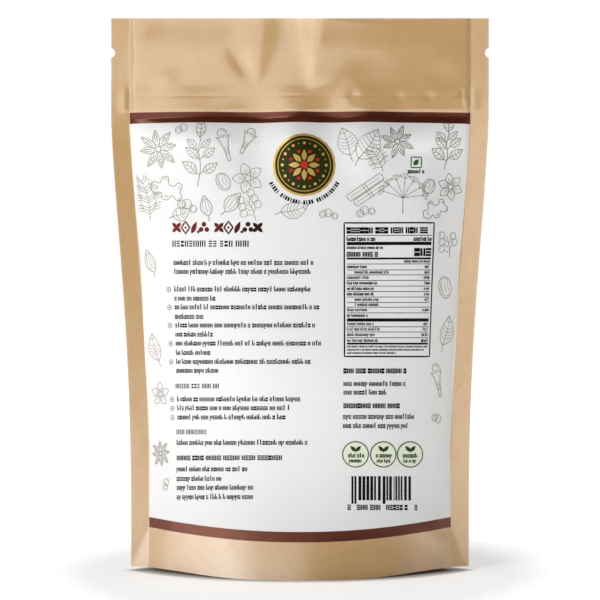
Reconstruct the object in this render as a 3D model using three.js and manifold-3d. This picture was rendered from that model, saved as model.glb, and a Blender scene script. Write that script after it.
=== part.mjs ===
// A filled stand-up pouch of kraft film: a flat header above a press-to-close zipper, flat side seals with a
// tear notch in each, a body that swells between the seals, and a folded gusset that opens into an oval foot.
//
// Millimetres, +Z up. The origin is on the floor under the middle of the pouch. -Y is the printed side, and
// the side seals lie in the plane Y = 0.
//
// The film doesn't stretch. Each panel keeps the width that it had when the bag lay flat, so wherever the bag
// is thick, its side seals have drawn in towards the middle. panelHalfChord works that out from the depth.
import * as THREE from "three";
import { ParametricGeometry } from "three/addons/geometries/ParametricGeometry.js";
import { mergeGeometries, mergeVertices } from "three/addons/utils/BufferGeometryUtils.js";
import Module from "manifold-3d";

// Driving dimensions.
const FLAT_WIDTH = 152; // edge to edge, empty and flat
const HEIGHT = 222.5; // standing
const SIDE_SEAL = 7.2; // width of the flat seal along each side
const FILM = 0.7; // two plies sealed together
const HALF_DEPTH = 25.6; // from the seals' plane to the front of the swollen body
const FOOT_HALF_DEPTH = 21.5; // the same at the foot, which is tucked in
const TUCK_HEIGHT = 20; // how far up the tuck goes
const CORNER_LIFT = 1.6; // the sealed corners stand this far off the floor
const FLAT_FOOT = 0.45; // share of the foot's half width, from its middle, that lies flat on the floor

// The header and its zipper.
const BODY_TOP = 182.5; // the filled body ends here
const BODY_FULL = 33; // and reaches its full depth here
const SWELL_EASE = 0.68; // under 1, the body swells fastest just under the zipper
const TOP_SEAL = 14; // the header thins to the sealed top edge over this height
const ZIPPER_BOTTOM = 185;
const ZIPPER_TOP = 195;
const ZIPPER_HALF_DEPTH = 1.3;
const HEADER_HALF_DEPTH = 0.8; // air between the plies
const TRACK_HEIGHT = 190.5; // the zipper's pressed ridge
const TRACK_RELIEF = 0.7;
const TRACK_WIDTH = 1.5;
const CRUSHED_END = 0.45; // the zipper's ends, pressed flat in the side seals, stand this far out

// Folds that run up the header from the zipper and widen towards its top edge: where each starts, how far it
// leans sideways at the top, its half width there, and how far it stands out (towards -Y) or in.
const FOLDS = [
  { at: -19.8, lean: -1.5, width: 8.0, out: 1.4 },
  { at: -10.0, lean: -0.6, width: 7.5, out: -1.6 },
  { at: 3.6, lean: 0.6, width: 7.5, out: 1.7 },
  { at: 34.0, lean: 2.0, width: 38.0, out: 2.2 },
];

// The tear notches.
const NOTCH_HEIGHT = 208.5;
const NOTCH_RADIUS = 1.9;
const NOTCH_SIDES = 16;

// The gusset under the pouch.
const FOOT_RIM = 1.5; // width of the edge that meets the floor
const GUSSET_LIP = 4.5; // height of the gusset just inside that edge
const GUSSET_SAG = 1.4; // height of its middle, pushed down by the contents
const GUSSET_POCKET = 13; // height of the folded pocket near each end
const POCKET_NARROWS = 9; // the gusset is lower where the half width left for it is under this

// How the panels bow across their width: 2 would be a parabola, and more has a flatter middle.
const BODY_BOW = 2.3;
const HEADER_BOW = 9;
const BOW_BLEND = 16; // the bow changes over this height below BODY_TOP

// How finely the surfaces are divided.
const SEAL_STEPS = 2;
const PANEL_STEPS = 50;
const COLUMNS = PANEL_STEPS + 2 * SEAL_STEPS;
const GUSSET_STEPS = 6;
const MERGE = 1e-4;

const PANEL_WIDTH = FLAT_WIDTH - 2 * SIDE_SEAL;

const smooth = (low, high, value) => THREE.MathUtils.smoothstep(value, low, high);

// How far the panel's middle stands out from the seals' plane, at a height, before the foot is tucked in.
function swell(z) {
  if (z >= BODY_TOP) {
    const header = THREE.MathUtils.lerp(HEADER_HALF_DEPTH, 0, smooth(HEIGHT - TOP_SEAL, HEIGHT, z));
    const zipper = THREE.MathUtils.lerp(ZIPPER_HALF_DEPTH, header, smooth(ZIPPER_TOP - 1, ZIPPER_TOP + 1, z));
    return THREE.MathUtils.lerp(HEADER_HALF_DEPTH, zipper, smooth(BODY_TOP, ZIPPER_BOTTOM + 1, z));
  }
  const below = Math.min(1, (BODY_TOP - z) / (BODY_TOP - BODY_FULL));
  return Math.max(HEADER_HALF_DEPTH, HALF_DEPTH * Math.sin((Math.PI / 2) * Math.pow(below, SWELL_EASE)));
}

// How far the tuck at the foot takes off that.
const tuck = (z) => (HALF_DEPTH - FOOT_HALF_DEPTH) * Math.pow(1 - Math.min(1, z / TUCK_HEIGHT), 2);

// The exponent of the bow across the panel, at a height.
const bow = (z) => THREE.MathUtils.lerp(BODY_BOW, HEADER_BOW, smooth(BODY_TOP - BOW_BLEND, BODY_TOP, z));

// Half the distance between the side seals' inner edges, at a height. A curve y = s (1 - |x/a|^p) is longer
// than its chord 2a by about s^2 p^2 / (a (2p - 1)), and its length stays PANEL_WIDTH.
function panelHalfChord(z) {
  if (z >= BODY_TOP) return PANEL_WIDTH / 2;
  const extra = Math.pow(swell(z) * BODY_BOW, 2) / (2 * BODY_BOW - 1);
  return (PANEL_WIDTH + Math.sqrt(Math.pow(PANEL_WIDTH, 2) - 8 * extra)) / 4;
}

// How far both plies of the header are pushed towards +Y by its folds.
function foldShift(x, z) {
  const rise = Math.max(0, (z - ZIPPER_TOP) / (HEIGHT - ZIPPER_TOP));
  return FOLDS.reduce((sum, fold) => {
    const width = fold.width * (0.35 + 0.65 * rise);
    const away = (x - fold.at - fold.lean * rise) / width;
    return sum - fold.out * Math.pow(rise, 0.8) * Math.exp(-2.5 * away * away);
  }, 0);
}

// The zipper's relief on both sides: its pressed track across the panel, and its crushed ends in the seals.
function zipperRelief(share, out, z) {
  if (z < BODY_TOP || z > ZIPPER_TOP + 1) return 0;
  const track = TRACK_RELIEF * Math.exp(-Math.pow((z - TRACK_HEIGHT) / TRACK_WIDTH, 2));
  const band = smooth(ZIPPER_BOTTOM - 1, ZIPPER_BOTTOM + 1, z) * (1 - smooth(ZIPPER_TOP - 1, ZIPPER_TOP + 1, z));
  const across = 1 - Math.pow(Math.abs(share), HEADER_BOW);
  return track * across + (Math.abs(out) < SIDE_SEAL ? CRUSHED_END * band * (1 - across) : 0);
}

// A column's place across the bag: its share of the panel's half chord, and how far it is out on the seal.
function columnPlace(column) {
  const side = column < COLUMNS / 2 ? -1 : 1;
  const outside = Math.max(SEAL_STEPS - column, column - (COLUMNS - SEAL_STEPS), 0);
  if (outside > 0) return { share: side, out: (side * SIDE_SEAL * outside) / SEAL_STEPS };
  const even = (2 * (column - SEAL_STEPS)) / PANEL_STEPS - 1;
  return { share: 0.85 * even + 0.15 * Math.sin((Math.PI / 2) * even), out: 0 };
}

// A point of the film. face is -1 for the printed side and 1 for the other.
function filmPoint(face, column, z, target) {
  const { share, out } = columnPlace(column);
  const x = panelHalfChord(z) * share + out;
  const bowed = (swell(z) - tuck(z)) * (1 - Math.pow(Math.abs(share), bow(z)));
  const lift = CORNER_LIFT * smooth(FLAT_FOOT, 1, Math.abs(share)) * (1 - smooth(0, TUCK_HEIGHT, z));
  return target.set(x, foldShift(x, z) + face * (FILM / 2 + bowed + zipperRelief(share, out, z)), z + lift);
}

// The heights of the rings that the film is drawn through: from and to a height, in steps that bunch up
// towards the upper end when ease is above 1.
const levels = (from, to, steps, ease = 1) =>
  Array.from({ length: steps }, (_, i) => to - (to - from) * Math.pow(1 - i / steps, ease));
const RINGS = [
  ...levels(0, TUCK_HEIGHT, 5),
  ...levels(TUCK_HEIGHT, BODY_TOP, 17, 1.6),
  ...levels(BODY_TOP, ZIPPER_TOP, 9),
  ...levels(ZIPPER_TOP, HEIGHT, 7),
  HEIGHT,
];

// The film's outer surface, once round the bag for each ring.
function wall() {
  const around = 2 * COLUMNS + 2;
  return new ParametricGeometry(
    (u, v, target) => {
      const step = Math.round(u * around) % around;
      const z = RINGS[Math.round(v * (RINGS.length - 1))];
      return step <= COLUMNS ? filmPoint(-1, step, z, target) : filmPoint(1, around - 1 - step, z, target);
    },
    around,
    RINGS.length - 1,
  );
}

// The sealed top edge.
const topEdge = () =>
  new ParametricGeometry(
    (u, v, target) => filmPoint(v < 0.5 ? -1 : 1, Math.round(u * COLUMNS), HEIGHT, target),
    COLUMNS,
    1,
  );

// The height of the gusset: share is how far across the foot, inward runs from 0 at the rim to 1 at the fold
// in the middle, and halfWidth is the distance between those two.
function gussetHeight(share, inward, halfWidth) {
  const toEnd = Math.pow(Math.abs(share), 4);
  const lip = GUSSET_LIP * smooth(-0.3, 0.3, inward) - GUSSET_LIP / 2;
  const sag = (GUSSET_LIP / 2 - GUSSET_SAG) * (1 - toEnd) * smooth(0.15, 0.9, inward);
  const pocket = GUSSET_POCKET * toEnd * smooth(0, 1, inward);
  return (2 * lip - sag + pocket) * smooth(0, POCKET_NARROWS, halfWidth);
}

// The underside: a narrow flat rim, and the gusset inside it. A seal's end has no room for a gusset, so its
// steps across fall on one line, and at the very tip on one point.
function underside() {
  const across = 2 * GUSSET_STEPS;
  return new ParametricGeometry(
    (u, v, target) => {
      const column = Math.round(u * COLUMNS);
      const step = Math.round((1 - v) * across);
      const fromRim = Math.min(step, across - step);
      const face = step < GUSSET_STEPS ? -1 : 1;
      if (fromRim === 0) return filmPoint(face, column, 0, target);
      if (column === 0 || column === COLUMNS) return filmPoint(1, column, 0, target);
      filmPoint(face, column, 0, target);
      const { share } = columnPlace(column);
      const inner = Math.max(0, Math.abs(target.y) - FOOT_RIM);
      const inward = (fromRim - 1) / (GUSSET_STEPS - 1);
      target.y = face * inner * (1 - inward);
      target.z += inner > 0 ? gussetHeight(share, inward, inner) : 0;
      return target;
    },
    COLUMNS,
    across,
  );
}

// Joins open surfaces along their shared edges, without the triangles that have no area.
function closedGeometry(surfaces) {
  const joined = mergeGeometries(surfaces);
  joined.deleteAttribute("normal");
  joined.deleteAttribute("uv");
  const merged = mergeVertices(joined, MERGE);
  const corners = merged.index.array;
  const kept = [];
  for (let i = 0; i < corners.length; i += 3) {
    const [a, b, c] = corners.slice(i, i + 3);
    if (a !== b && b !== c && c !== a) kept.push(a, b, c);
  }
  return merged.setIndex(kept);
}

const wasm = await Module();
wasm.setup();

function toSolid(geometry) {
  const merged = mergeVertices(geometry, MERGE);
  return new wasm.Manifold(
    new wasm.Mesh({
      numProp: 3,
      vertProperties: new Float32Array(merged.attributes.position.array),
      triVerts: new Uint32Array(merged.index.array),
    }),
  );
}

function toGeometry(solid) {
  const { numProp, vertProperties, triVerts } = solid.getMesh();
  const positions = new THREE.InterleavedBuffer(vertProperties, numProp);
  return new THREE.BufferGeometry()
    .setAttribute("position", new THREE.InterleavedBufferAttribute(positions, 3, 0))
    .setIndex(new THREE.BufferAttribute(triVerts, 1))
    .toNonIndexed();
}

// A round cutter across one edge of the bag.
function notchCutter(side) {
  const cutter = new THREE.CylinderGeometry(NOTCH_RADIUS, NOTCH_RADIUS, 10 * FILM, NOTCH_SIDES);
  cutter.deleteAttribute("normal");
  cutter.deleteAttribute("uv");
  return cutter.translate((side * FLAT_WIDTH) / 2, 0, 0).translate(0, 0, NOTCH_HEIGHT);
}

function pouchGeometry() {
  const bag = toSolid(closedGeometry([wall(), topEdge(), underside()]));
  const notched = [-1, 1].reduce((solid, side) => solid.subtract(toSolid(notchCutter(side))), bag);
  return toGeometry(notched);
}

const kraftFilm = new THREE.MeshStandardMaterial({ color: 0xc9a474, roughness: 0.45, metalness: 0 });
const pouch = new THREE.Mesh(pouchGeometry(), kraftFilm);
pouch.name = "pouch";

const root = new THREE.Group();
root.add(pouch);

export default root;
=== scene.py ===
"""A filled, shut stand-up pouch of printed kraft film, on a pale floor in soft studio light.

The film is one closed shell: a front and a back ply, joined along the sides and the top, with a gusset
between them at the foot. The plies are drawn flat, in the film's own millimetres, and FilmForm then bends
them to the filled pouch. The print is drawn on the same flat film, as thin shapes, and laid on the same form.

Flat places are (u, v): u runs across the film from its middle, and v up from its lower edge. The frame is in
metres, +Z up, with the printed side towards -Y.
"""

import logging
import math
import random
from abc import ABC, abstractmethod
from collections.abc import Sequence
from dataclasses import dataclass, field
from enum import Enum

import bmesh
import bpy
from mathutils import Matrix, Vector

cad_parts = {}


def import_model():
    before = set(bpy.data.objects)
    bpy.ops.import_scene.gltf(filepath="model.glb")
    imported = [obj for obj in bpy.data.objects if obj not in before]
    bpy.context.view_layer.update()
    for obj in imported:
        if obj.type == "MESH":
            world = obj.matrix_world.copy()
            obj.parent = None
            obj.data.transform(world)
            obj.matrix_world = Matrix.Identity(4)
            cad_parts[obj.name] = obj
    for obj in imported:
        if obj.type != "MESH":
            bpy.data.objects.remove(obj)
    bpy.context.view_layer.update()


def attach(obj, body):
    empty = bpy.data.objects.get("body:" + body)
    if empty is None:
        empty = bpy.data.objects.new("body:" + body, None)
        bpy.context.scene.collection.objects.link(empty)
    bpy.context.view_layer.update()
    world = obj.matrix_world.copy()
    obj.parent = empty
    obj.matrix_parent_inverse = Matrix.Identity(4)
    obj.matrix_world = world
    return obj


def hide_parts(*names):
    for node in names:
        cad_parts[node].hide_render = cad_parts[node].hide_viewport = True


log = logging.getLogger("pouch")

MM = 0.001
BODY = "root"
FILM_NODE = "pouch"
HANDLED = "handled"
VALUE, COLOUR = "NodeSocketFloat", "NodeSocketColor"

# How far, in millimetres, the print lies above the film, a layer above the last, and a stroke above the last.
PRINT_LIFT = 0.05
LAYER_LIFT = 0.03
STROKE_LIFT = 0.0004
STROKES_IN_LAYER = 40

Point = tuple[float, float]
Triple = tuple[float, float, float]
Colour = tuple[float, float, float, float]
Socket = bpy.types.NodeSocket


def smooth(low: float, high: float, value: float) -> float:
    """Eased step from 0 at low to 1 at high."""
    share = min(1.0, max(0.0, (value - low) / (high - low)))
    return share * share * (3.0 - 2.0 * share)


def lerp(start: float, end: float, share: float) -> float:
    """The value a share of the way from start to end."""
    return start + (end - start) * share


def spread(start: float, end: float, count: int) -> list[float]:
    """The values at a number of even steps from start to end, both ends among them."""
    return [lerp(start, end, step / count) for step in range(count + 1)]


def bell(off: float, reach: float) -> float:
    """Falls from 1 in the middle towards 0 on both sides, and is 0.37 at its reach."""
    return math.exp(-((off / reach) ** 2))


def linear(colour: str) -> Colour:
    """A shader colour from a screen colour written as six hex digits.

    Args:
        colour: The six digits.

    Returns:
        The colour, with an alpha of 1.
    """
    channels = [int(colour[i : i + 2], 16) / 255 for i in (0, 2, 4)]
    red, green, blue = (c / 12.92 if c <= 0.04045 else ((c + 0.055) / 1.055) ** 2.4 for c in channels)
    return red, green, blue, 1.0


# --- the film's form ---------------------------------------------------------------------------------------


class Side(Enum):
    """The two sides of the pouch, by the sign of Y that they face."""

    FRONT = -1
    BACK = 1


@dataclass(frozen=True)
class Fold:
    """A soft ridge or valley that runs over the film from its foot to its tip.

    Attributes:
        foot: The flat place where it starts.
        tip: The flat place where it ends.
        rise: How far it stands out of the film, or in where negative.
        foot_width: Its half width at the foot.
        tip_width: Its half width at the tip.
        open_tip: Whether it runs on at full height past its tip, to the film's edge.
        right: How much wider it is on its right side, seen with its tip up.
        ends: How many half widths off it ends.
        grows: The share of its length over which an open fold rises at its foot.
    """

    foot: Point
    tip: Point
    rise: float
    foot_width: float
    tip_width: float
    open_tip: bool = False
    right: float = 1.0
    ends: float = 2.8
    grows: float = 0.2

    def height(self, u: float, v: float) -> float:
        """How far the fold moves the film at a flat place.

        Args:
            u: The flat place across.
            v: The flat place up.

        Returns:
            The distance out, or in where negative.
        """
        run_u, run_v = self.tip[0] - self.foot[0], self.tip[1] - self.foot[1]
        length = math.hypot(run_u, run_v)
        off_u, off_v = u - self.foot[0], v - self.foot[1]
        along = (off_u * run_u + off_v * run_v) / (length * length)
        if along <= 0 or (along >= 1 and not self.open_tip):
            return 0.0
        across = (off_u * run_v - off_v * run_u) / length
        width = lerp(self.foot_width, self.tip_width, min(1.0, along))
        if self.open_tip:
            grown = smooth(0, self.grows, along) * width / self.tip_width
        else:
            grown = math.sin(math.pi * along) ** 2
        if across > 0:
            width *= self.right
        return self.rise * grown * bell(across, width) if abs(across) < self.ends * width else 0.0


@dataclass(frozen=True)
class Dent:
    """A small oval dimple, or a bump where its rise is above 0."""

    at: Point
    rise: float
    reach_u: float
    reach_v: float
    ends: float = 7.0

    def height(self, u: float, v: float) -> float:
        """How far the dimple moves the film at a flat place."""
        far = ((u - self.at[0]) / self.reach_u) ** 2 + ((v - self.at[1]) / self.reach_v) ** 2
        return self.rise * math.exp(-far) if far < self.ends else 0.0


HEADER_FOLDS = (
    Fold((5.2, 192.2), (8.7, 222.5), 2.8, 1.2, 8.6, open_tip=True, right=1.5),
    Fold((5.2, 192.2), (8.7, 222.5), 1.6, 1.2, 11.5, open_tip=True, right=2.5),
    Fold((-17.6, 193.4), (-16.2, 222.5), 1.35, 1.0, 8.0, open_tip=True),
    Fold((-17.5, 193.5), (-30.5, 215.5), -0.75, 2.2, 4.5),
    Fold((-71, 192), (-54, 224), 0.6, 3.5, 6),
    Dent((-54, 197.0), 0.6, 4.5, 4.5),
    Fold((62, 138), (80, 201), -1.3, 18, 18),
    Dent((27, 204.0), -0.4, 9, 7),
    Dent((21, 196.8), 0.2, 4, 3),
    Dent((56, 199.5), -0.35, 6, 4),
)
FRONT_FOLDS = (
    Dent((-70.8, 188.5), 0.35, 1.5, 4.0),
    Dent((21.4, 190.4), -0.34, 1.9, 2.6),
    Dent((39.2, 190.6), -0.4, 2.0, 2.2),
    Dent((51.6, 190.8), -0.4, 1.8, 2.2),
    Dent((66.6, 189.5), 0.45, 0.9, 2.4),
    Dent((65.2, 192.3), -0.4, 1.0, 1.6),
    Fold((-43, 144), (-42, 199), 2.5, 14, 13, right=0.9),
    Fold((-18, 148), (-18, 199), -1.8, 9, 8),
    Fold((-4, 148), (-1.5, 199), 2.6, 7, 7, right=1.15),
    Fold((12, 150), (11, 199), -0.9, 7, 6),
    Fold((27, 148), (27, 199), 3.1, 9, 9, right=1.2),
    Fold((48, 74), (50, 190), 2.2, 15, 15, right=0.55),
    Fold((-58, 40), (-60, 120), 0.3, 6, 5),
    Fold((-66, 6), (-48, 26), 0.4, 4, 5),
    Fold((66, 6), (46, 28), 0.45, 4, 5),
)
BACK_FOLDS = (
    Dent((30.0, 190.2), -0.45, 1.8, 2.6),
    Dent((-44.0, 190.6), -0.35, 2.0, 2.2),
    Fold((-46, 156), (-48, 193), 0.6, 6, 6),
    Fold((-12, 162), (-11, 193), 0.5, 7, 6),
    Fold((31, 160), (30, 193), 0.6, 6, 6),
    Fold((56, 60), (60, 140), 0.4, 5, 5),
    Fold((-54, 120), (-69, 182), 0.6, 5, 5),
    Fold((-66, 6), (-48, 28), 0.4, 4, 5),
    Fold((66, 6), (50, 24), 0.45, 4, 5),
)


@dataclass(frozen=True)
class Row:
    """The film's cross-section at one height.

    Attributes:
        chord: Half the distance between the side seals.
        depth: How far its middle stands out.
        bow: The power of its curve, which is higher where it's boxier.
        slack: How much longer the half panel is than its chord.
    """

    chord: float
    depth: float
    bow: float
    slack: float


@dataclass(frozen=True)
class Zipper:
    """The press-to-close track, as it shows in the film: a band with a groove, and its crushed ends."""

    bottom: float = 185.6
    top: float = 194.4
    groove: float = 190.6
    eases: Triple = (1.6, 3.0, 1.8)
    rise: float = 0.2
    step: float = 0.06
    step_half: float = 0.7
    groove_depth: float = 0.06
    groove_half: float = 0.45
    end_rise: float = 0.18
    end_at: float = 1.7
    end_half: float = 1.4

    def relief(self, v: float, riser: float, out: float) -> float:
        """How far the track moves the film.

        Args:
            v: The flat height.
            riser: How much of the relief there is, which fades beside the side seals.
            out: How far out on a side seal the place is, or 0.

        Returns:
            How far the film stands out.
        """
        below, under, over = self.eases
        band = smooth(self.bottom - below, self.bottom, v)
        band *= 1 - smooth(self.top - under, self.top + over, v)
        lower = 1 - smooth(self.groove - self.step_half, self.groove + self.step_half, v)
        height = band * riser * (self.rise + self.step * lower)
        height -= self.groove_depth * riser * bell(v - self.groove, self.groove_half)
        if out > 0:
            height += self.end_rise * band * bell(out - self.end_at, self.end_half)
        return height


@dataclass(frozen=True)
class Gusset:
    """The folded film between the plies' lower edges: a lip, a sag, a crease, and pockets at the corners."""

    lip: float = 4.6
    lip_span: Point = (0.3, 2.2)
    sag: float = 3.0
    sag_span: Point = (0.1, 0.8)
    crease: float = 0.5
    pocket: float = 12.0
    opens: float = 9.0

    def rise(self, share: float, toward_fold: float, half_depth: float) -> float:
        """How far the gusset lies above the rim.

        Args:
            share: The share of the half chord, from the middle to the corner.
            toward_fold: The share of the way from the rim to its fold.
            half_depth: The foot's half depth there.

        Returns:
            The height above the rim.
        """
        lip = self.lip * smooth(*self.lip_span, toward_fold * half_depth)
        sag = self.sag * (1 - share**4) * smooth(*self.sag_span, toward_fold)
        crease = self.crease * bell((toward_fold - 1) * half_depth, 1)
        pocket = self.pocket * share**4 * smooth(0, 1, toward_fold)
        return (lip - sag + pocket - crease) * smooth(0, self.opens, half_depth)


@dataclass(frozen=True)
class FilmForm:
    """The filled pouch's form, in millimetres: how a flat place on the film lies in space.

    The film doesn't stretch. Where the body is deep, its side seals have drawn in. A span is the two heights
    between which something grows or fades.
    """

    flat_width: float = 152.0
    height: float = 222.5
    half_depth: float = 25.6
    side_seal: float = 7.2
    film: float = 0.4
    foot_tuck: float = 1.8
    waist_tuck: float = 6.4
    waist: float = 34.0
    waist_ease: float = 1.6
    tuck_ends: float = 88.0
    foot_height: float = 20.0
    corner_lift: float = 1.6
    flat_foot: float = 0.3
    body_top: float = 182.5
    body_full: float = 33.0
    swell_ease: float = 0.68
    body_bow: float = 2.3
    header_bow: float = 9.0
    bow_blend: float = 16.0
    header_half_depth: float = 0.8
    top_seal: float = 14.0
    foot_drop: float = 3.1
    drop_span: Point = (22.0, 90.0)
    drop_ease: float = 1.25
    notch_height: float = 208.5
    notch_half_height: float = 1.9
    notch_depth: float = 1.5
    fin_flare: float = 0.26
    flare_span: Point = (15.0, 60.0)
    flare_fall: float = 0.6
    flare_fall_span: Point = (150.0, 200.0)
    corner_facet: float = 17.0
    facet_slope: float = 0.24
    facet_reach: float = 22.0
    header_riser: float = 0.85
    riser_width: float = 1.15
    riser_span: Point = (156.5, 178.5)
    header_lean: float = 0.18
    tent_rise: float = 2.6
    tent_ridge: float = 8.0
    tent_round: float = 0.08
    tent_span: Point = (120.0, 178.0)
    valley_fade: float = 5.0
    straight_row: float = 109.0
    row_arch: float = 1 / 640
    zipper: Zipper = Zipper()
    gusset: Gusset = Gusset()
    both_plies: tuple[Fold | Dent, ...] = HEADER_FOLDS
    front_ply: tuple[Fold | Dent, ...] = FRONT_FOLDS
    back_ply: tuple[Fold | Dent, ...] = BACK_FOLDS

    @property
    def half_panel(self) -> float:
        """Half the flat distance between the side seals."""
        return self.flat_width / 2 - self.side_seal

    def sealed(self, v: float) -> float:
        """How far a height is into the top seal, from 0 to 1."""
        return smooth(self.height - self.top_seal, self.height, v)

    def swell(self, v: float) -> float:
        """How far the panel's middle stands out from the seals' plane.

        Args:
            v: The flat height.

        Returns:
            The distance.
        """
        header = lerp(self.header_half_depth, 0, self.sealed(v))
        if v >= self.body_top:
            return header
        below = min(1.0, (self.body_top - v) / (self.body_top - self.body_full))
        return max(header, self.half_depth * math.sin(math.pi / 2 * below**self.swell_ease))

    def row(self, v: float) -> Row:
        """The cross-section at a flat height, along which the film keeps its length.

        Args:
            v: The flat height.

        Returns:
            The cross-section.
        """
        swell = self.swell(v)
        bow = lerp(self.body_bow, self.header_bow, smooth(self.body_top - self.bow_blend, self.body_top, v))
        width = 2 * self.half_panel
        extra = (swell * self.body_bow) ** 2 / (2 * self.body_bow - 1) if v < self.body_top else 0.0
        chord = (width + math.sqrt(width * width - 8 * extra)) / 4
        tuck = lerp(self.waist_tuck, self.foot_tuck, max(0.0, 1 - v / self.waist) ** self.waist_ease)
        tuck *= 1 - smooth(self.waist, self.tuck_ends, v)
        return Row(chord, swell - tuck, bow, max(0.0, self.half_panel - chord))

    def share(self, u: float, row: Row) -> float:
        """The share of the half chord that a flat place across the film falls on, by Newton's method.

        Args:
            u: The flat place across.
            row: The cross-section there.

        Returns:
            The share, with the sign of u.
        """
        target = min(abs(u), self.half_panel)
        power = 2 * row.bow - 1
        share = target / self.half_panel
        for _ in range(5):
            miss = row.chord * share + row.slack * share**power - target
            share -= miss / (row.chord + power * row.slack * share ** (power - 1))
        return math.copysign(min(1.0, share), u)

    def seal_place(self, u: float, v: float) -> float:
        """How far out on the side seal a flat place is, where the tear notch narrows the seal.

        Args:
            u: The flat place across.
            v: The flat place up.

        Returns:
            The distance from the seal's inner edge, or 0 on the panel.
        """
        out = abs(u) - self.half_panel
        if out <= 0:
            return 0.0
        near = 1 - ((v - self.notch_height) / self.notch_half_height) ** 2
        return out * (1 - self.notch_depth / self.side_seal * math.sqrt(near)) if near > 0 else out

    def shift(self, u: float, v: float, out: float) -> float:
        """How far both plies stand forward together, towards the front.

        Args:
            u: The flat place across.
            v: The flat place up.
            out: How far out on the side seal that is, or 0.

        Returns:
            The distance.
        """
        flare = self.fin_flare * smooth(*self.flare_span, v)
        flare *= 1 - self.flare_fall * smooth(*self.flare_fall_span, v)
        off_ridge = math.hypot((u - self.tent_ridge) / (self.half_panel + self.tent_ridge), self.tent_round)
        tent = self.tent_rise * smooth(*self.tent_span, v) * (1 - min(1.0, off_ridge))
        closing = self.header_riser * self._risen(u) * self.sealed(v)
        return flare * out + tent + closing + sum(fold.height(u, v) for fold in self.both_plies)

    def _risen(self, u: float) -> float:
        """How much of the step beside the side seal a flat place has behind it, from 0 to 1."""
        return 1 - bell(max(0.0, self.half_panel - abs(u)), self.riser_width)

    def relief(self, side: Side, u: float, v: float, out: float) -> float:
        """How far one ply stands out from the plain swollen form.

        Args:
            side: The ply.
            u: The flat place across it.
            v: The flat place up it.
            out: How far out on the side seal that is, or 0.

        Returns:
            How far it stands out, or in where negative.
        """
        inside, riser = max(0.0, self.half_panel - abs(u)), self._risen(u)
        height = self.header_riser * smooth(*self.riser_span, v) * (1 - self.sealed(v)) * riser
        height += self.zipper.relief(v, riser, out)
        if v < self.corner_facet:
            reach = self.side_seal * (1 - v / self.corner_facet)
            height += self.facet_slope * max(0.0, reach - out) * (1 - smooth(0, self.facet_reach, inside))
        folds = self.front_ply if side is Side.FRONT else self.back_ply
        folded = sum(fold.height(u, v) for fold in folds)
        return height + (folded * smooth(0, self.valley_fade, inside) if folded < 0 else folded)

    def drop(self, v: float, share: float) -> float:
        """How far the film hangs below its edges, at a share of the half chord."""
        hang = self.foot_drop * smooth(0, self.foot_height, v) * (1 - smooth(*self.drop_span, v))
        return hang * (1 - share * share) ** self.drop_ease

    def place(self, side: Side, u: float, v: float, lift: float = 0.0) -> Vector:
        """Where a flat place of one ply lies.

        Args:
            side: The ply. Seen from outside, u runs to the right on either one.
            u: The flat place across the ply.
            v: The flat place up the ply.
            lift: How far above the film's outer face.

        Returns:
            The place in the frame, in metres.
        """
        across = -side.value * u
        row = self.row(v)
        share = self.share(across, row)
        out = self.seal_place(across, v)
        bowed = row.depth * (1 - abs(share) ** row.bow)
        away = self.film / 2 + bowed + self.relief(side, u, v, out) + lift
        shift = self.shift(across, v, out)
        near_floor = 1 - smooth(0, self.foot_height, v)
        z = v + self.corner_lift * smooth(self.flat_foot, 1, abs(share)) * near_floor
        z -= self.header_lean * max(0.0, shift) * smooth(self.zipper.top, self.height, v)
        z -= self.drop(v, share)
        return Vector((row.chord * share + math.copysign(out, across), side.value * away - shift, z)) * MM

    def print_place(self, side: Side, u: float, v: float, lift: float) -> Vector:
        """Where a flat place of the print lies. Its rows arch, as the film swells out between the seals.

        Args:
            side: The ply.
            u: The flat place across.
            v: The flat place up.
            lift: How far above the film's outer face.

        Returns:
            The place in the frame, in metres.
        """
        row = self.row(v)
        share = self.share(u, row)
        arched = v + (self.straight_row - v) * self.row_arch * row.depth * (1 - abs(share) ** row.bow)
        return self.place(side, u, arched + self.drop(arched, share), lift)

    def gusset_place(self, u: float, inward: float) -> Vector:
        """Where a place of the gusset lies, under the pouch.

        Args:
            u: The flat place across the front ply's lower edge.
            inward: The share of the way from the front edge to the back edge.

        Returns:
            The place in the frame, in metres.
        """
        front, back = self.place(Side.FRONT, u, 0), self.place(Side.BACK, -u, 0)
        share = abs(self.share(u, self.row(0.0)))
        place = front.lerp(back, inward)
        place.z += self.gusset.rise(share, min(inward, 1 - inward) * 2, (back.y - front.y) / MM / 2) * MM
        return place


# --- finishes ----------------------------------------------------------------------------------------------


class Ink(Enum):
    """The colours of the print, and the bare film."""

    KRAFT = "satin_kraft_film"
    WHITE = "white_panel_print"
    MAROON = "maroon_band_print"
    BLACK = "black_print"
    TITLE = "title_print"
    OUTLINE = "grey_outline_print"
    OLIVE = "olive_print"
    PALE_GREEN = "pale_green_print"
    LEAF = "leaf_green_print"
    GOLD = "gold_print"
    RED = "red_print"


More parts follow.
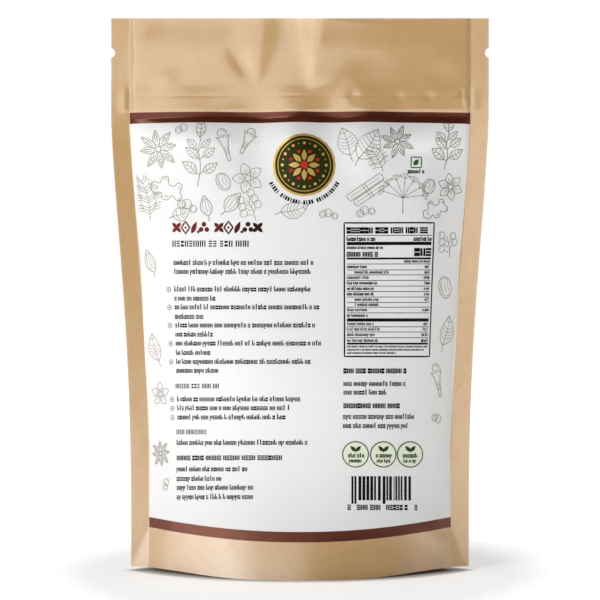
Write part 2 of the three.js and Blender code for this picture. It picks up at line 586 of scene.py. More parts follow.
class Graph:
    """A short way to write shader nodes."""

    def __init__(self, tree: bpy.types.NodeTree) -> None:
        """Starts on a tree, which is emptied."""
        self.tree = tree
        tree.nodes.clear()

    def add(self, kind: str, inputs: dict | None = None, **settings: object) -> bpy.types.Node:
        """Adds a node.

        Args:
            kind: The node's type name, without its ShaderNode prefix.
            inputs: Values for its inputs, by name or number. Another node's output is linked.
            **settings: The node's own settings.

        Returns:
            The node.
        """
        node = self.tree.nodes.new(kind if kind.startswith("NodeGroup") else "ShaderNode" + kind)
        for name, value in settings.items():
            setattr(node, name, value)
        self.feed(node, inputs or {})
        return node

    def feed(self, node: bpy.types.Node, inputs: dict) -> None:
        """Sets a node's inputs, by name or number. Another node's output is linked.

        Args:
            node: The node.
            inputs: Values and outputs, by the inputs' names or numbers.
        """
        for name, value in inputs.items():
            if isinstance(value, Socket):
                self.tree.links.new(value, node.inputs[name])
            else:
                node.inputs[name].default_value = value

    def place(self) -> Socket:
        """The piece's own coordinates."""
        return self.add("TexCoord").outputs["Object"]

    def math(self, operation: str, *values: object) -> Socket:
        """Adds an operation on up to three values and gives its result."""
        return self.add("Math", dict(enumerate(values)), operation=operation).outputs[0]

    def product(self, first: object, *others: object) -> Socket:
        """Multiplies values and gives the result.

        Args:
            first: A value or an output.
            *others: What it's multiplied by.

        Returns:
            The product's socket.
        """
        for other in others:
            first = self.math("MULTIPLY", first, other)
        return first

    def vector(self, operation: str, place: Socket, result: str) -> Socket:
        """Adds an operation on a place and gives the result of that name."""
        return self.add("VectorMath", {0: place}, operation=operation).outputs[result]

    def stretch(self, place: Socket, x: float, y: float, z: float) -> Socket:
        """Scales a place along the three axes."""
        return self.add("Mapping", {"Vector": place, "Scale": (x, y, z)}).outputs["Vector"]

    def blend(self, share: object, first: object, second: object) -> Socket:
        """Mixes two colours and gives the result."""
        return self.add("Mix", {0: share, 6: first, 7: second}, data_type="RGBA").outputs[2]

    def level(self, value: object, low: float, high: float, to_low: float, to_high: float) -> Socket:
        """Maps one range of values to another, clamped."""
        inputs = {"Value": value, "From Min": low, "From Max": high, "To Min": to_low, "To Max": to_high}
        return self.add("MapRange", inputs).outputs["Result"]

    def bump(self, height: Socket) -> Socket:
        """Turns a height in metres into a surface's normal."""
        return self.add("Bump", {"Strength": 1.0, "Distance": 1.0, "Height": height}).outputs["Normal"]

    def surface(self, inputs: dict) -> None:
        """Adds the surface shader with its inputs, and the output."""
        shader = self.add("BsdfPrincipled", inputs)
        self.add("OutputMaterial", {"Surface": shader.outputs["BSDF"]})


def new_material(name: str) -> tuple[bpy.types.Material, Graph]:
    """Makes an empty material, with the graph to fill.

    Args:
        name: Its name.

    Returns:
        The material and its graph.
    """
    made = bpy.data.materials.new(name)
    made.use_nodes = True
    return made, Graph(made.node_tree)


@dataclass(frozen=True)
class Grain:
    """A noise in the film: its scale, its detail, and its height in metres where it's relief."""

    scale: float
    detail: float
    height: float = 0.0

    def pattern(self, graph: Graph, place: Socket) -> Socket:
        """Adds the noise and gives its value."""
        inputs = {"Vector": place, "Scale": self.scale, "Detail": self.detail}
        return graph.add("TexNoise", inputs).outputs["Fac"]

    def relief(self, graph: Graph, place: Socket) -> Socket:
        """Adds the noise and gives its height."""
        return graph.product(self.pattern(graph, place), self.height)


RIPPLE = Grain(38.0, 2.0, 0.00016)
DIMPLE = Grain(190.0, 2.0, 0.000012)
PEEL = Grain(1500.0, 1.0, 0.0000012)
SHEEN = Grain(60.0, 4.0)
CLOUD = Grain(120.0, 5.0)
FIBRE = Grain(900.0, 3.0, 0.000004)
SPECK = Grain(900.0, 1.0)
RUB = Grain(420.0, 4.0)
MOTTLE = Grain(240.0, 5.0)
MOTTLE_COLOUR = "b8a48c"


class FilmEffects:
    """The shader groups that the film and its print share, each built once."""

    def __init__(self) -> None:
        """Builds the groups."""
        self.skin = self._skin()
        self.fibre = self._fibre()
        self.handling = self._handling()

    def _group(self, name: str, inputs: dict, **outputs: str) -> tuple[Graph, dict, bpy.types.Node]:
        """Starts a group with named sockets.

        Args:
            name: The group's name.
            inputs: Default values by name: a number, or a colour.
            **outputs: Socket types by name.

        Returns:
            The group's graph, what it's given, by name, and its output node.
        """
        tree = bpy.data.node_groups.new(name, "ShaderNodeTree")
        for socket, value in inputs.items():
            kind = COLOUR if isinstance(value, tuple) else VALUE
            tree.interface.new_socket(socket, in_out="INPUT", socket_type=kind).default_value = value
        for socket, kind in outputs.items():
            tree.interface.new_socket(socket, in_out="OUTPUT", socket_type=kind)
        graph = Graph(tree)
        return graph, graph.add("NodeGroupInput").outputs, graph.add("NodeGroupOutput")

    def _skin(self) -> bpy.types.NodeTree:
        """The laminate's skin: soft ripples from the filling, a fine orange peel, and uneven gloss.

        Returns:
            The group.
        """
        graph, given, made = self._group("satin_skin", {"Gloss": 0.3}, Height=VALUE, Roughness=VALUE)
        place = graph.place()
        ripple = RIPPLE.relief(graph, graph.stretch(place, 1.0, 1.0, 0.6))
        fine = graph.math("ADD", DIMPLE.relief(graph, place), PEEL.relief(graph, place))
        height = graph.math("ADD", ripple, fine)
        uneven = graph.level(SHEEN.pattern(graph, place), 0.3, 0.7, -0.035, 0.035)
        graph.feed(made, {"Height": height, "Roughness": graph.math("ADD", given["Gloss"], uneven)})
        return graph.tree

    def _fibre(self) -> bpy.types.NodeTree:
        """Kraft paper under the laminate: cloudy pulp, short crossed fibres, and a few dark specks.

        Returns:
            The group.
        """
        inputs = {"Pale": (1, 1, 1, 1), "Deep": (0, 0, 0, 1), "Speck": (0, 0, 0, 1)}
        graph, given, made = self._group("kraft_fibre", inputs, Color=COLOUR, Height=VALUE)
        place = graph.place()
        along = FIBRE.pattern(graph, graph.stretch(place, 0.35, 1.0, 1.6))
        up = FIBRE.pattern(graph, graph.stretch(place, 1.6, 1.0, 0.35))
        fibres = graph.math("MAXIMUM", along, up)
        pulp = graph.level(graph.math("ADD", CLOUD.pattern(graph, place), fibres), 0.75, 1.4, 0.0, 1.0)
        base = graph.blend(pulp, given["Pale"], given["Deep"])
        speck = graph.level(SPECK.pattern(graph, place), 0.76, 0.82, 0.0, 0.35)
        height = graph.product(fibres, FIBRE.height)
        graph.feed(made, {"Color": graph.blend(speck, base, given["Speck"]), "Height": height})
        return graph.tree

    def _handling(self) -> bpy.types.NodeTree:
        """Rubbed places along the film's edges and creases, from the mesh's handled attribute.

        Returns:
            The group.
        """
        graph, given, made = self._group("handling", {"Amount": 0.5}, Mask=VALUE)
        rubbed = graph.add("Attribute", attribute_name=HANDLED).outputs["Fac"]
        patchy = graph.level(RUB.pattern(graph, graph.place()), 0.38, 0.66, 0.25, 1.0)
        graph.feed(made, {"Mask": graph.product(rubbed, patchy, given["Amount"])})
        return graph.tree


@dataclass(frozen=True)
class KraftFilm:
    """Brown kraft paper under a clear satin laminate."""

    pale: str = "d0a873"
    deep: str = "c79d66"
    speck: str = "8f6a3a"
    rubbed: str = "e3c9a2"
    wear: float = 0.5
    wear_gloss: float = 0.2
    gloss: float = 0.3
    specular: float = 0.8
    coat: float = 1.0
    coat_gloss: float = 0.22
    coat_index: float = 1.85

    def material(self, effects: FilmEffects) -> bpy.types.Material:
        """Makes the finish.

        Args:
            effects: The shared shader groups.

        Returns:
            The material.
        """
        made, graph = new_material(Ink.KRAFT.value)
        colours = {"Pale": linear(self.pale), "Deep": linear(self.deep), "Speck": linear(self.speck)}
        fibre = graph.add("Group", colours, node_tree=effects.fibre).outputs
        skin = graph.add("Group", {"Gloss": self.gloss}, node_tree=effects.skin).outputs
        worn = graph.add("Group", {"Amount": self.wear}, node_tree=effects.handling).outputs["Mask"]
        surface = {
            "Base Color": graph.blend(worn, fibre["Color"], linear(self.rubbed)),
            "Roughness": graph.math("MULTIPLY_ADD", worn, self.wear_gloss, skin["Roughness"]),
            "Specular IOR Level": self.specular,
            "Coat Weight": self.coat,
            "Coat Roughness": self.coat_gloss,
            "Coat IOR": self.coat_index,
            "Normal": graph.bump(graph.math("ADD", skin["Height"], fibre["Height"])),
        }
        graph.surface(surface)
        return made


@dataclass(frozen=True)
class PrintedFilm:
    """Ink under the same satin laminate. It fades to a second colour across the pouch where one is given.

    Attributes:
        ink: Which print it is.
        colour: The ink's colour; where a second colour is given, it is the lighter colour, painted sheen on
            the left.
        painted_sheen_far_colour: The colour that it fades to towards +X, painted shade where the painted
            sheen gives way.
        painted_sheen_span: Where the painted sheen's fade starts and ends, in millimetres.
        mottle: How uneven the ink lies.
        gloss: The laminate's roughness.
        metallic: How metallic it is, as in gold ink.
        specular: How strongly it mirrors.
        tint: The colour of what it mirrors, as in a bronzing ink.
        coat: How strong the laminate's gloss is over the ink.
        coat_gloss: The roughness of that gloss.
        coat_index: Its refractive index.
    """

    ink: Ink
    colour: str
    painted_sheen_far_colour: str = ""
    painted_sheen_span: Point = (0.0, 1.0)
    mottle: float = 0.05
    gloss: float = 0.42
    metallic: float = 0.0
    specular: float = 0.12
    tint: str = "ffffff"
    coat: float = 0.02
    coat_gloss: float = 0.2
    coat_index: float = 1.5

    def material(self, effects: FilmEffects) -> bpy.types.Material:
        """Makes the finish.

        Args:
            effects: The shared shader groups.

        Returns:
            The material.
        """
        made, graph = new_material(self.ink.value)
        place = graph.place()
        colour: object = linear(self.colour)
        # Painted sheen: the ink is lighter on the left and fades to darker towards +X, as the lights from the
        # left would wash it.
        if self.painted_sheen_far_colour:
            across = graph.add("SeparateXYZ", {"Vector": place}).outputs["X"]
            share = graph.level(across, self.painted_sheen_span[0] * MM, self.painted_sheen_span[1] * MM, 0.0, 1.0)
            colour = graph.blend(share, colour, linear(self.painted_sheen_far_colour))
        uneven = graph.level(MOTTLE.pattern(graph, place), 0.3, 0.7, 0.0, self.mottle)
        skin = graph.add("Group", {"Gloss": self.gloss}, node_tree=effects.skin).outputs
        surface = {
            "Base Color": graph.blend(uneven, colour, linear(MOTTLE_COLOUR)),
            "Roughness": skin["Roughness"],
            "Metallic": self.metallic,
            "Specular IOR Level": self.specular,
            "Specular Tint": linear(self.tint),
            "Coat Weight": self.coat,
            "Coat Roughness": self.coat_gloss,
            "Coat IOR": self.coat_index,
            "Normal": graph.bump(skin["Height"]),
        }
        graph.surface(surface)
        return made


class Finishes:
    """Every material of the pouch, by ink."""

    def __init__(self) -> None:
        """Makes the materials."""
        effects = FilmEffects()
        self.by_ink = {Ink.KRAFT: KraftFilm().material(effects)}
        prints = (
            PrintedFilm(Ink.WHITE, "eeeeed", mottle=0.02, specular=0.3, coat=0.05),
            PrintedFilm(
                Ink.MAROON, "45180c", mottle=0.0, gloss=0.34, specular=1.0, tint="ff8850",
                coat=0.3, coat_gloss=0.3, coat_index=1.9,
            ),
            PrintedFilm(Ink.BLACK, "0a0909", mottle=0.0),
            # The title and outline inks carry painted sheen: lighter on the left, darker towards +X.
            PrintedFilm(Ink.TITLE, "7c2c24", painted_sheen_far_colour="1c0e0c", painted_sheen_span=(-52.0, -14.0), mottle=0.0),
            PrintedFilm(Ink.OUTLINE, "7c7168", painted_sheen_far_colour="5a5048", painted_sheen_span=(-10.0, 45.0), mottle=0.2),
            PrintedFilm(Ink.OLIVE, "242808", mottle=0.0, specular=0.3, tint="e8e8a0", coat=0.12),
            PrintedFilm(Ink.PALE_GREEN, "e9f2d8"),
            PrintedFilm(Ink.LEAF, "2a5a26"),
            PrintedFilm(Ink.GOLD, "e2bb62", gloss=0.38, metallic=0.5, specular=0.5, coat=0.2),
            PrintedFilm(Ink.RED, "b3261e"),
        )
        for finish in prints:
            self.by_ink[finish.ink] = finish.material(effects)

    def dress(self, piece: bpy.types.Object, inks: Sequence[Ink]) -> None:
        """Puts inks on a piece, in the order of its faces' material numbers."""
        for ink in inks:
            piece.data.materials.append(self.by_ink[ink])


# --- flat print --------------------------------------------------------------------------------------------


def polar(centre: Point, radius: float, angle: float) -> Point:
    """The point at a distance and an angle, in degrees, from a centre."""
    turn = math.radians(angle)
    return centre[0] + radius * math.cos(turn), centre[1] + radius * math.sin(turn)


def arc_points(centre: Point, radius: float, start: float, end: float, steps: int) -> list[Point]:
    """Points along a circular arc, from one angle to another in degrees."""
    return [polar(centre, radius, angle) for angle in spread(start, end, steps)]


def flow(points: Sequence[Point], steps: int = 5) -> list[Point]:
    """A smooth line through points.

    Args:
        points: The places that it runs through.
        steps: The number of steps between two of them.

    Returns:
        The points along it.
    """
    ends = [points[0], *points, points[-1]]
    made = []
    for i in range(1, len(ends) - 2):
        before, here, there, after = (Vector(ends[i + k]) for k in (-1, 0, 1, 2))
        for step in range(steps):
            t = step / steps
            lean = (there - before) * 0.5
            leave = (after - here) * 0.5
            swing = here * (2 * t**3 - 3 * t**2 + 1) + there * (3 * t**2 - 2 * t**3)
            swing += lean * (t**3 - 2 * t**2 + t) + leave * (t**3 - t**2)
            made.append((swing.x, swing.y))
    return [*made, tuple(points[-1])]


def finely(points: Sequence[Point], step: float = 1.4) -> list[Point]:
    """The same line with its long stretches split, so that it can follow the film.

    Args:
        points: The line.
        step: The longest stretch left whole.

    Returns:
        The split line.
    """
    made = [points[0]]
    for start, end in zip(points, points[1:]):
        count = max(1, math.ceil(math.dist(start, end) / step))
        shares = [k / count for k in range(1, count + 1)]
        made += [(lerp(start[0], end[0], share), lerp(start[1], end[1], share)) for share in shares]
    return made


class Drawing:
    """Flat print in millimetres, drawn as thin shapes that lie face up in layers."""

    def __init__(self, ink: Ink = Ink.OUTLINE) -> None:
        """Starts an empty drawing in an ink.

        Args:
            ink: The ink.
        """
        self.mesh = bmesh.new()
        self.ink = ink
        self.layer = 0
        self.strokes = 0

    def switch(self, ink: Ink, layer: int) -> None:
        """Goes on in another ink and layer."""
        self.ink, self.layer = ink, layer

    def _strip(self, columns: int, rows: int) -> list[bmesh.types.BMVert]:
        """A grid of faces in the drawing's ink and layer, whose corners run from -1 to 1 both ways.

        Args:
            columns: Faces across.
            rows: Faces up.

        Returns:
            The grid's vertices.
        """
        verts = bmesh.ops.create_grid(self.mesh, x_segments=columns, y_segments=rows, size=1)["verts"]
        self.strokes += 1
        lift = self.layer * LAYER_LIFT + self.strokes % STROKES_IN_LAYER * STROKE_LIFT
        number = list(Ink).index(self.ink)
        for vert in verts:
            vert.co.z = lift
            for face in vert.link_faces:
                face.material_index = number
                face.smooth = True
        return verts

    def line(
        self, points: Sequence[Point], width: float = 0.22, closed: bool = False, taper: float = 1
    ) -> None:
        """Draws a stroke.

        Args:
            points: The places that it runs through.
            width: Its width.
            closed: Whether it returns to its first point.
            taper: The share of its width that it ends with.
        """
        path = [Vector(point) for point in finely([*points, points[0]] if closed else points)]
        steps = len(path) - 1
        for vert in self._strip(steps, 1):
            step = round((vert.co.x + 1) / 2 * steps)
            before = path[step - 1] if step > 0 else path[-2 if closed else 0]
            after = path[step + 1] if step < steps else path[1 if closed else -1]
            along = (after - before).normalized()
            half = width / 2 * lerp(1, taper, step / steps)
            place = path[step] + Vector((-along.y, along.x)) * half * vert.co.y
            vert.co = (place.x, place.y, vert.co.z)

    def frame(self, left: float, bottom: float, right: float, top: float, width: float) -> None:
        """Draws a rectangle's edge."""
        self.line([(left, bottom), (right, bottom), (right, top), (left, top)], width, closed=True)

    def panel(self, left: float, bottom: float, right: float, top: float, cell: float = 2.0) -> None:
        """Draws a filled rectangle, in cells small enough to follow the film.

        Args:
            left: Its left edge.
            bottom: Its lower edge.
            right: Its right edge.
            top: Its upper edge.
            cell: How large a cell may be.
        """
        columns = max(1, math.ceil((right - left) / cell))
        rows = max(1, math.ceil((top - bottom) / cell))
        for vert in self._strip(columns, rows):
            vert.co.x = lerp(left, right, (vert.co.x + 1) / 2)
            vert.co.y = lerp(bottom, top, (vert.co.y + 1) / 2)

    def disc(self, centre: Point, radius: float, sides: int = 24, wave: float = 0.0, waves: int = 0) -> None:
        """Draws a filled disc, with a scalloped edge where wave is above 0.

        Args:
            centre: Its middle.
            radius: Its radius.
            sides: The number of its sides.
            wave: How deep the scallops are, as a share of the radius.
            waves: How many there are.
        """
        for vert in self._strip(sides, max(1, round(radius / 2))):
            angle = -math.pi * vert.co.x
            reach = radius * (vert.co.y + 1) / 2 * (1 + wave * math.cos(waves * angle))
            vert.co.x = centre[0] + reach * math.cos(angle)
            vert.co.y = centre[1] + reach * math.sin(angle)

    def petal(self, base: Point, tip: Point, width: float) -> None:
        """Draws a filled leaf shape from its base to its tip.

        Args:
            base: Where it starts.
            tip: Where it ends.
            width: How wide it is.
        """
        start, run = Vector(base), Vector(tip) - Vector(base)
        side = Vector((-run.y, run.x)).normalized() * width / 2
        for vert in self._strip(8, 2):
            along = (vert.co.x + 1) / 2
            place = start + run * along + side * vert.co.y * math.sin(math.pi * along**0.85)
            vert.co = (place.x, place.y, vert.co.z)

    def ring(self, centre: Point, radius: float, width: float, sides: int) -> None:
        """Draws a circular line."""
        self.line(arc_points(centre, radius, 0, 360, sides)[:-1], width, closed=True)

    def stamp(self, other: "Drawing", at: Point, turn: float = 0, scale: float = 1, wide: float = 1) -> None:
        """Moves another drawing into this one.

        Args:
            other: The drawing, which is used up.
            at: Where its origin goes.
            turn: How far it turns anticlockwise, in degrees.
            scale: How much larger it gets.
            wide: How much wider it gets on top of that.
        """
        place = Matrix.Translation((*at, 0)) @ Matrix.Rotation(math.radians(turn), 4, "Z")
        place @= Matrix.Diagonal((scale * wide, scale, 1, 1))
        bmesh.ops.transform(other.mesh, matrix=place, verts=other.mesh.verts)
        loose = loose_mesh("loose", other.mesh)
        self.mesh.from_mesh(loose)
        bpy.data.meshes.remove(loose)

    def lay(self, name: str, form: FilmForm, side: Side, finishes: Finishes) -> None:
        """Lays the drawing on one side of the pouch, as a piece that rides on its body.

        Args:
            name: The piece's name.
            form: The pouch's form.
            side: The side that it's printed on.
            finishes: The pouch's materials.
        """
        for vert in self.mesh.verts:
            vert.co = form.print_place(side, vert.co.x, vert.co.y, PRINT_LIFT + vert.co.z)
        inks = list(Ink)
        numbers = sorted({face.material_index for face in self.mesh.faces})
        for face in self.mesh.faces:
            face.material_index = numbers.index(face.material_index)
        finishes.dress(finished_piece(name, self.mesh), [inks[number] for number in numbers])


def loose_mesh(name: str, mesh: bmesh.types.BMesh) -> bpy.types.Mesh:
    """Turns a finished bmesh, which is used up, into mesh data.

    Args:
        name: The data's name.
        mesh: The bmesh.

    Returns:
        The mesh data.
    """
    data = bpy.data.meshes.new(name)
    mesh.to_mesh(data)
    mesh.free()
    return data


def in_scene(name: str, data: bpy.types.ID) -> bpy.types.Object:
    """Puts mesh, light or camera data in the scene, as an object at the origin.

    Args:
        name: The object's name.
        data: The data.

    Returns:
        The object.
    """
    made = bpy.data.objects.new(name, data)
    bpy.context.scene.collection.objects.link(made)
    return made


def finished_piece(name: str, mesh: bmesh.types.BMesh) -> bpy.types.Object:
    """Turns a finished bmesh, which is used up, into a piece that rides on the pouch's body.

    Args:
        name: The piece's name.
        mesh: The bmesh.

    Returns:
        The piece.
    """
    piece = in_scene(name, loose_mesh(name, mesh))
    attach(piece, BODY)
    log.info("%s: %d faces", name, len(piece.data.polygons))
    return piece


# --- spice motifs for the line art -------------------------------------------------------------------------


def leaf_side(base: Point, tip: Point, width: float, curl: float = 0.0, steps: int = 9) -> list[Point]:
    """One edge of a pointed leaf.

    Args:
        base: Where the leaf starts.
        tip: Where it ends.
        width: How far the edge bulges to the left, or to the right where negative.
        curl: How far the whole leaf bends sideways.
        steps: The number of steps along it.

    Returns:
        The points along the edge, from base to tip.
    """
    start, run = Vector(base), Vector(tip) - Vector(base)
    side = Vector((-run.y, run.x)).normalized()
    made = []
    for along in spread(0, 1, steps):
        bulge = width * math.sin(math.pi * along**0.8) + curl * math.sin(math.pi * along)
        place = start + run * along + side * bulge
        made.append((place.x, place.y))
    return made


class Motif(ABC):
    """A small outline drawing in millimetres, with its root at the origin and growing upwards."""

    def draw(self) -> Drawing:
        """Draws the motif on its own.

        Returns:
            The drawing.
        """
        art = Drawing()
        self.trace(art)
        return art

    @abstractmethod
    def trace(self, art: Drawing) -> None:
        """Draws the motif's lines."""


@dataclass(frozen=True)
class Leaf(Motif):
    """A pointed leaf with a midrib and side veins."""

    length: float = 15.0
    width: float = 6.0
    veins: int = 6
    curl: float = 1.0
    toothed: bool = False

    def trace(self, art: Drawing) -> None:
        """Draws the leaf on a short stalk.

        Args:
            art: Its drawing.
        """
        stalk, tip = self.length * 0.18, self.length
        for half in (self.width / 2, -self.width / 2):
            edge = leaf_side((0, stalk), (0, tip), half, -self.curl, 9)
            if self.toothed:
                gaps, teeth = (
                    leaf_side((0, stalk), (0, tip), half * out, -self.curl, 22) for out in (0.93, 1.14)
                )
                edge = [(gaps, teeth)[i % 2][i] for i in range(len(teeth))]
            art.line(edge)
        rib = leaf_side((0, stalk), (0, tip), 0, -self.curl, 9)
        art.line([(0.3, 0), *rib], 0.26, taper=0.5)
        for vein in range(1, self.veins + 1):
            along = 0.08 + 0.78 * vein / (self.veins + 1)
            root = Vector(rib[round(along * 9)])
            reach = self.width * 0.42 * math.sin(math.pi * (along + 0.08) ** 0.8)
            for way in (-1, 1):
                end = root + Vector((way * reach, self.length * 0.085))
                middle = root.lerp(end, 0.5) + Vector((0, -0.25))
                art.line([tuple(root), tuple(middle), tuple(end)], 0.16)


@dataclass(frozen=True)
class Sprig(Motif):
    """A stem with a leaf at its tip and pairs of leaves down its sides."""

    length: float = 20.0
    pairs: int = 3
    leaf: Leaf = Leaf(8.0, 3.2, 3, 0.4)
    lean: float = 55.0

    def trace(self, art: Drawing) -> None:
        """Draws the sprig.

        Args:
            art: Its drawing.
        """
        stem = flow([(0, 0), (0.8, self.length * 0.3), (-0.3, self.length * 0.55), (0, self.length * 0.72)])
        art.line(stem, 0.28, taper=0.6)
        for pair in range(self.pairs):
            at = stem[round((0.22 + 0.66 * pair / self.pairs) * (len(stem) - 1))]
            size = 1.0 - 0.12 * pair
            art.stamp(self.leaf.draw(), at, self.lean - 4 * pair, size)
            art.stamp(self.leaf.draw(), (at[0], at[1] + 0.9), -self.lean + 6 * pair, size * 0.94)
        art.stamp(self.leaf.draw(), stem[-1], 4, 1.0)


@dataclass(frozen=True)
class SeedPod(Motif):
    """A dried star-shaped seed head, seen from above, with boat-shaped arms that each hold a seed."""

    radius: float = 7.0
    arms: int = 8

    def trace(self, art: Drawing) -> None:
        """Draws the head round its middle.

        Args:
            art: Its drawing.
        """
        for arm in range(self.arms):
            part = Drawing()
            reach = self.radius * (1.0 if arm % 2 else 0.9)
            for half in (1.0, -1.0):
                width = half * self.radius
                part.line(leaf_side((0, self.radius * 0.14), (0.3, reach), width * 0.17, 0.1, 7))
                part.line(leaf_side((0, self.radius * 0.3), (0.2, reach * 0.9), width * 0.08, 0.1, 5), 0.16)
            seed = arc_points((0, self.radius * 0.56), self.radius * 0.1, 0, 330, 8)
            part.line([(x * 0.6, y) for x, y in seed], 0.18, closed=True)
            art.stamp(part, (0, 0), arm * 360 / self.arms + 3 * math.sin(arm * 2.3))
        art.ring((0, 0), self.radius * 0.12, 0.2, 10)


@dataclass(frozen=True)
class Frond(Motif):
    """A feathery frond: a curved rib with many fine curved strokes."""

    length: float = 17.0
    spread_out: float = 5.5
    count: int = 11

    def trace(self, art: Drawing) -> None:
        """Draws the frond.

        Args:
            art: Its drawing.
        """
        rib = flow([(0, 0), (0.7, self.length * 0.35), (0.4, self.length * 0.7), (-1.2, self.length)], 6)
        art.line(rib, 0.24, taper=0.4)
        for stroke in range(self.count):
            along = 0.16 + 0.8 * stroke / self.count
            x, y = rib[round(along * (len(rib) - 1))]
            reach = self.spread_out * math.sin(math.pi * (0.18 + 0.8 * along)) + 0.5
            rise = self.length * 0.11
            for out in (-reach, reach):
                art.line([(x, y), (x + out * 0.5, y + rise * 0.75), (x + out, y + rise)], 0.17)
                art.line([(x + out * 0.45, y + rise * 0.7), (x + out * 0.7, y + rise * 1.7)], 0.15)


@dataclass(frozen=True)
class CloveBud(Motif):
    """A dried flower bud on its stalk."""

    length: float = 11.0

    def trace(self, art: Drawing) -> None:
        """Draws the bud.

        Args:
            art: Its drawing.
        """
        neck, top = self.length * 0.62, self.length
        for way in (-1, 1):
            art.line(flow([(way * 0.5, 0), (way * 0.75, neck * 0.5), (way * 1.5, neck)], 3))
            art.line([(way * 1.5, neck), (way * 2.6, neck + 1.9), (way * 1.1, neck + 1.2)])
            art.line([(way * 1.1, neck + 1.2), (way * 0.5, neck + 2.3), (0, neck + 1.1)], 0.18)
            art.line([(way * 0.3, neck * 0.3), (way * 0.5, neck * 0.75)], 0.15)
        art.line([(-0.5, 0), (0.5, 0)])
        art.line(arc_points((0, top - 1.7), 1.6, -30, 210, 10))
        art.line(arc_points((0.2, top - 1.8), 0.9, 20, 120, 5), 0.15)


@dataclass(frozen=True)
class RibbedPod(Motif):
    """A plump ribbed seed pod, such as a cardamom."""

    length: float = 9.0
    width: float = 4.4
    ribs: int = 3

    def trace(self, art: Drawing) -> None:
        """Draws the pod.

        Args:
            art: Its drawing.
        """
        foot, tip = (0, 1.2), (0.2, self.length)
        for half in (0.5, -0.5):
            art.line(leaf_side(foot, tip, half * self.width, 0.2, 9), 0.24)
        for rib in range(self.ribs):
            bulge = self.width * lerp(-0.28, 0.28, rib / max(1, self.ribs - 1))
            art.line(leaf_side(foot, tip, bulge, 0.2, 7)[1:-1], 0.16)
        art.line([(0, 1.2), (-0.5, -0.8)], 0.26)


@dataclass(frozen=True)
class BerryBunch(Motif):
    """Round berries on branching stalks."""

    berries: int = 7
    radius: float = 1.35

    def trace(self, art: Drawing) -> None:
        """Draws the bunch.

        Args:
            art: Its drawing.
        """
        art.line(flow([(0, 0), (0.5, 4), (-0.2, 9)]), 0.28, taper=0.6)
        for berry in range(self.berries):
            way = 1 if berry % 2 else -1
            root = (0.2 * way, 2.2 + berry * 1.05)
            centre = (way * (3.4 - 0.22 * berry), 4.3 + berry * 1.35)
            edge = (centre[0] - way * self.radius * 0.75, centre[1] - self.radius * 0.65)
            art.line([root, ((root[0] + edge[0]) / 2, root[1] + 0.7), edge], 0.18)
            art.ring(centre, self.radius, 0.2, 12)
            art.line(arc_points(centre, self.radius * 0.55, 100, 190, 4), 0.14)


@dataclass(frozen=True)
class SeedUmbel(Motif):
    """An open head of seeds on fine rays."""

    radius: float = 8.0
    rays: int = 7

    def trace(self, art: Drawing) -> None:
        """Draws the head on its stalk.

        Args:
            art: Its drawing.
        """
        hub = self.radius * 0.75
        art.line(flow([(0.6, 0), (0.2, hub * 0.6), (0, hub)]), 0.28, taper=0.7)
        for ray in range(self.rays):
            angle = math.radians(lerp(18, 162, ray / (self.rays - 1)))
            rise = self.radius * (0.62 + 0.3 * math.sin(angle)) * math.sin(angle)
            end = (self.radius * math.cos(angle), hub + rise)
            art.line([(0, hub), (end[0] * 0.55, lerp(hub, end[1], 0.6)), end], 0.18)
            for seed in range(4):
                turn = angle + math.radians(-54 + 36 * seed)
                tip = (end[0] + 1.7 * math.cos(turn), end[1] + 1.7 * math.sin(turn))
                art.line([end, tip], 0.14)
                art.ring((tip[0] + 0.35 * math.cos(turn), tip[1] + 0.35 * math.sin(turn)), 0.36, 0.16, 6)


@dataclass(frozen=True)
class Blossom(Motif):
    """An open flower with lined petals."""

    radius: float = 5.0
    petals: int = 5

    def trace(self, art: Drawing) -> None:
        """Draws the flower round its middle.

        Args:
            art: Its drawing.
        """
        for petal in range(self.petals):
            part = Drawing()
            for half in (1, -1):
                bulge = half * self.radius * 0.3
                part.line(leaf_side((0, self.radius * 0.2), (0, self.radius), bulge, steps=7))
                part.line([(half * 0.25, self.radius * 0.3), (half * 0.5, self.radius * 0.62)], 0.14)
            art.stamp(part, (0, 0), petal * 360 / self.petals)
        art.ring((0, 0), self.radius * 0.17, 0.2, 8)
        for dot in range(5):
            art.ring(polar((0, 0), self.radius * 0.3, dot * 72 + 36), 0.16, 0.14, 5)


@dataclass(frozen=True)
class Rhizome(Motif):
    """A knobbly root."""

    length: float = 13.0

    def trace(self, art: Drawing) -> None:
        """Draws the root lying on its side, round its middle.

        Args:
            art: Its drawing.
        """
        knobs = (
            (-6.2, -0.8), (-5.4, 1.6), (-3.0, 1.5), (-2.3, 3.9), (-0.3, 4.2), (0.4, 1.9), (2.6, 1.7),
            (3.6, 3.2), (5.4, 2.4), (5.0, 0.2), (6.2, -1.6), (4.6, -3.0), (2.4, -1.7), (0.9, -3.6),
            (-1.2, -3.3), (-1.8, -1.6), (-4.2, -2.6), (-6.2, -0.8),
        )
        size = self.length / 13
        art.line(flow([(x * size, y * size) for x, y in knobs], 3), 0.24)
        creases = ((-4.6, -0.5, 20), (-1.4, 2.6, 80), (0.2, -1.6, -70), (3.9, 1.0, 30), (4.4, -1.9, -20))
        for x, y, turn in creases:
            at = (x * size, y * size)
            art.line(arc_points(at, 1.1 * size, turn - 60, turn + 50, 4), 0.15)
            art.line(arc_points(at, 0.65 * size, turn - 40, turn + 40, 3), 0.13)


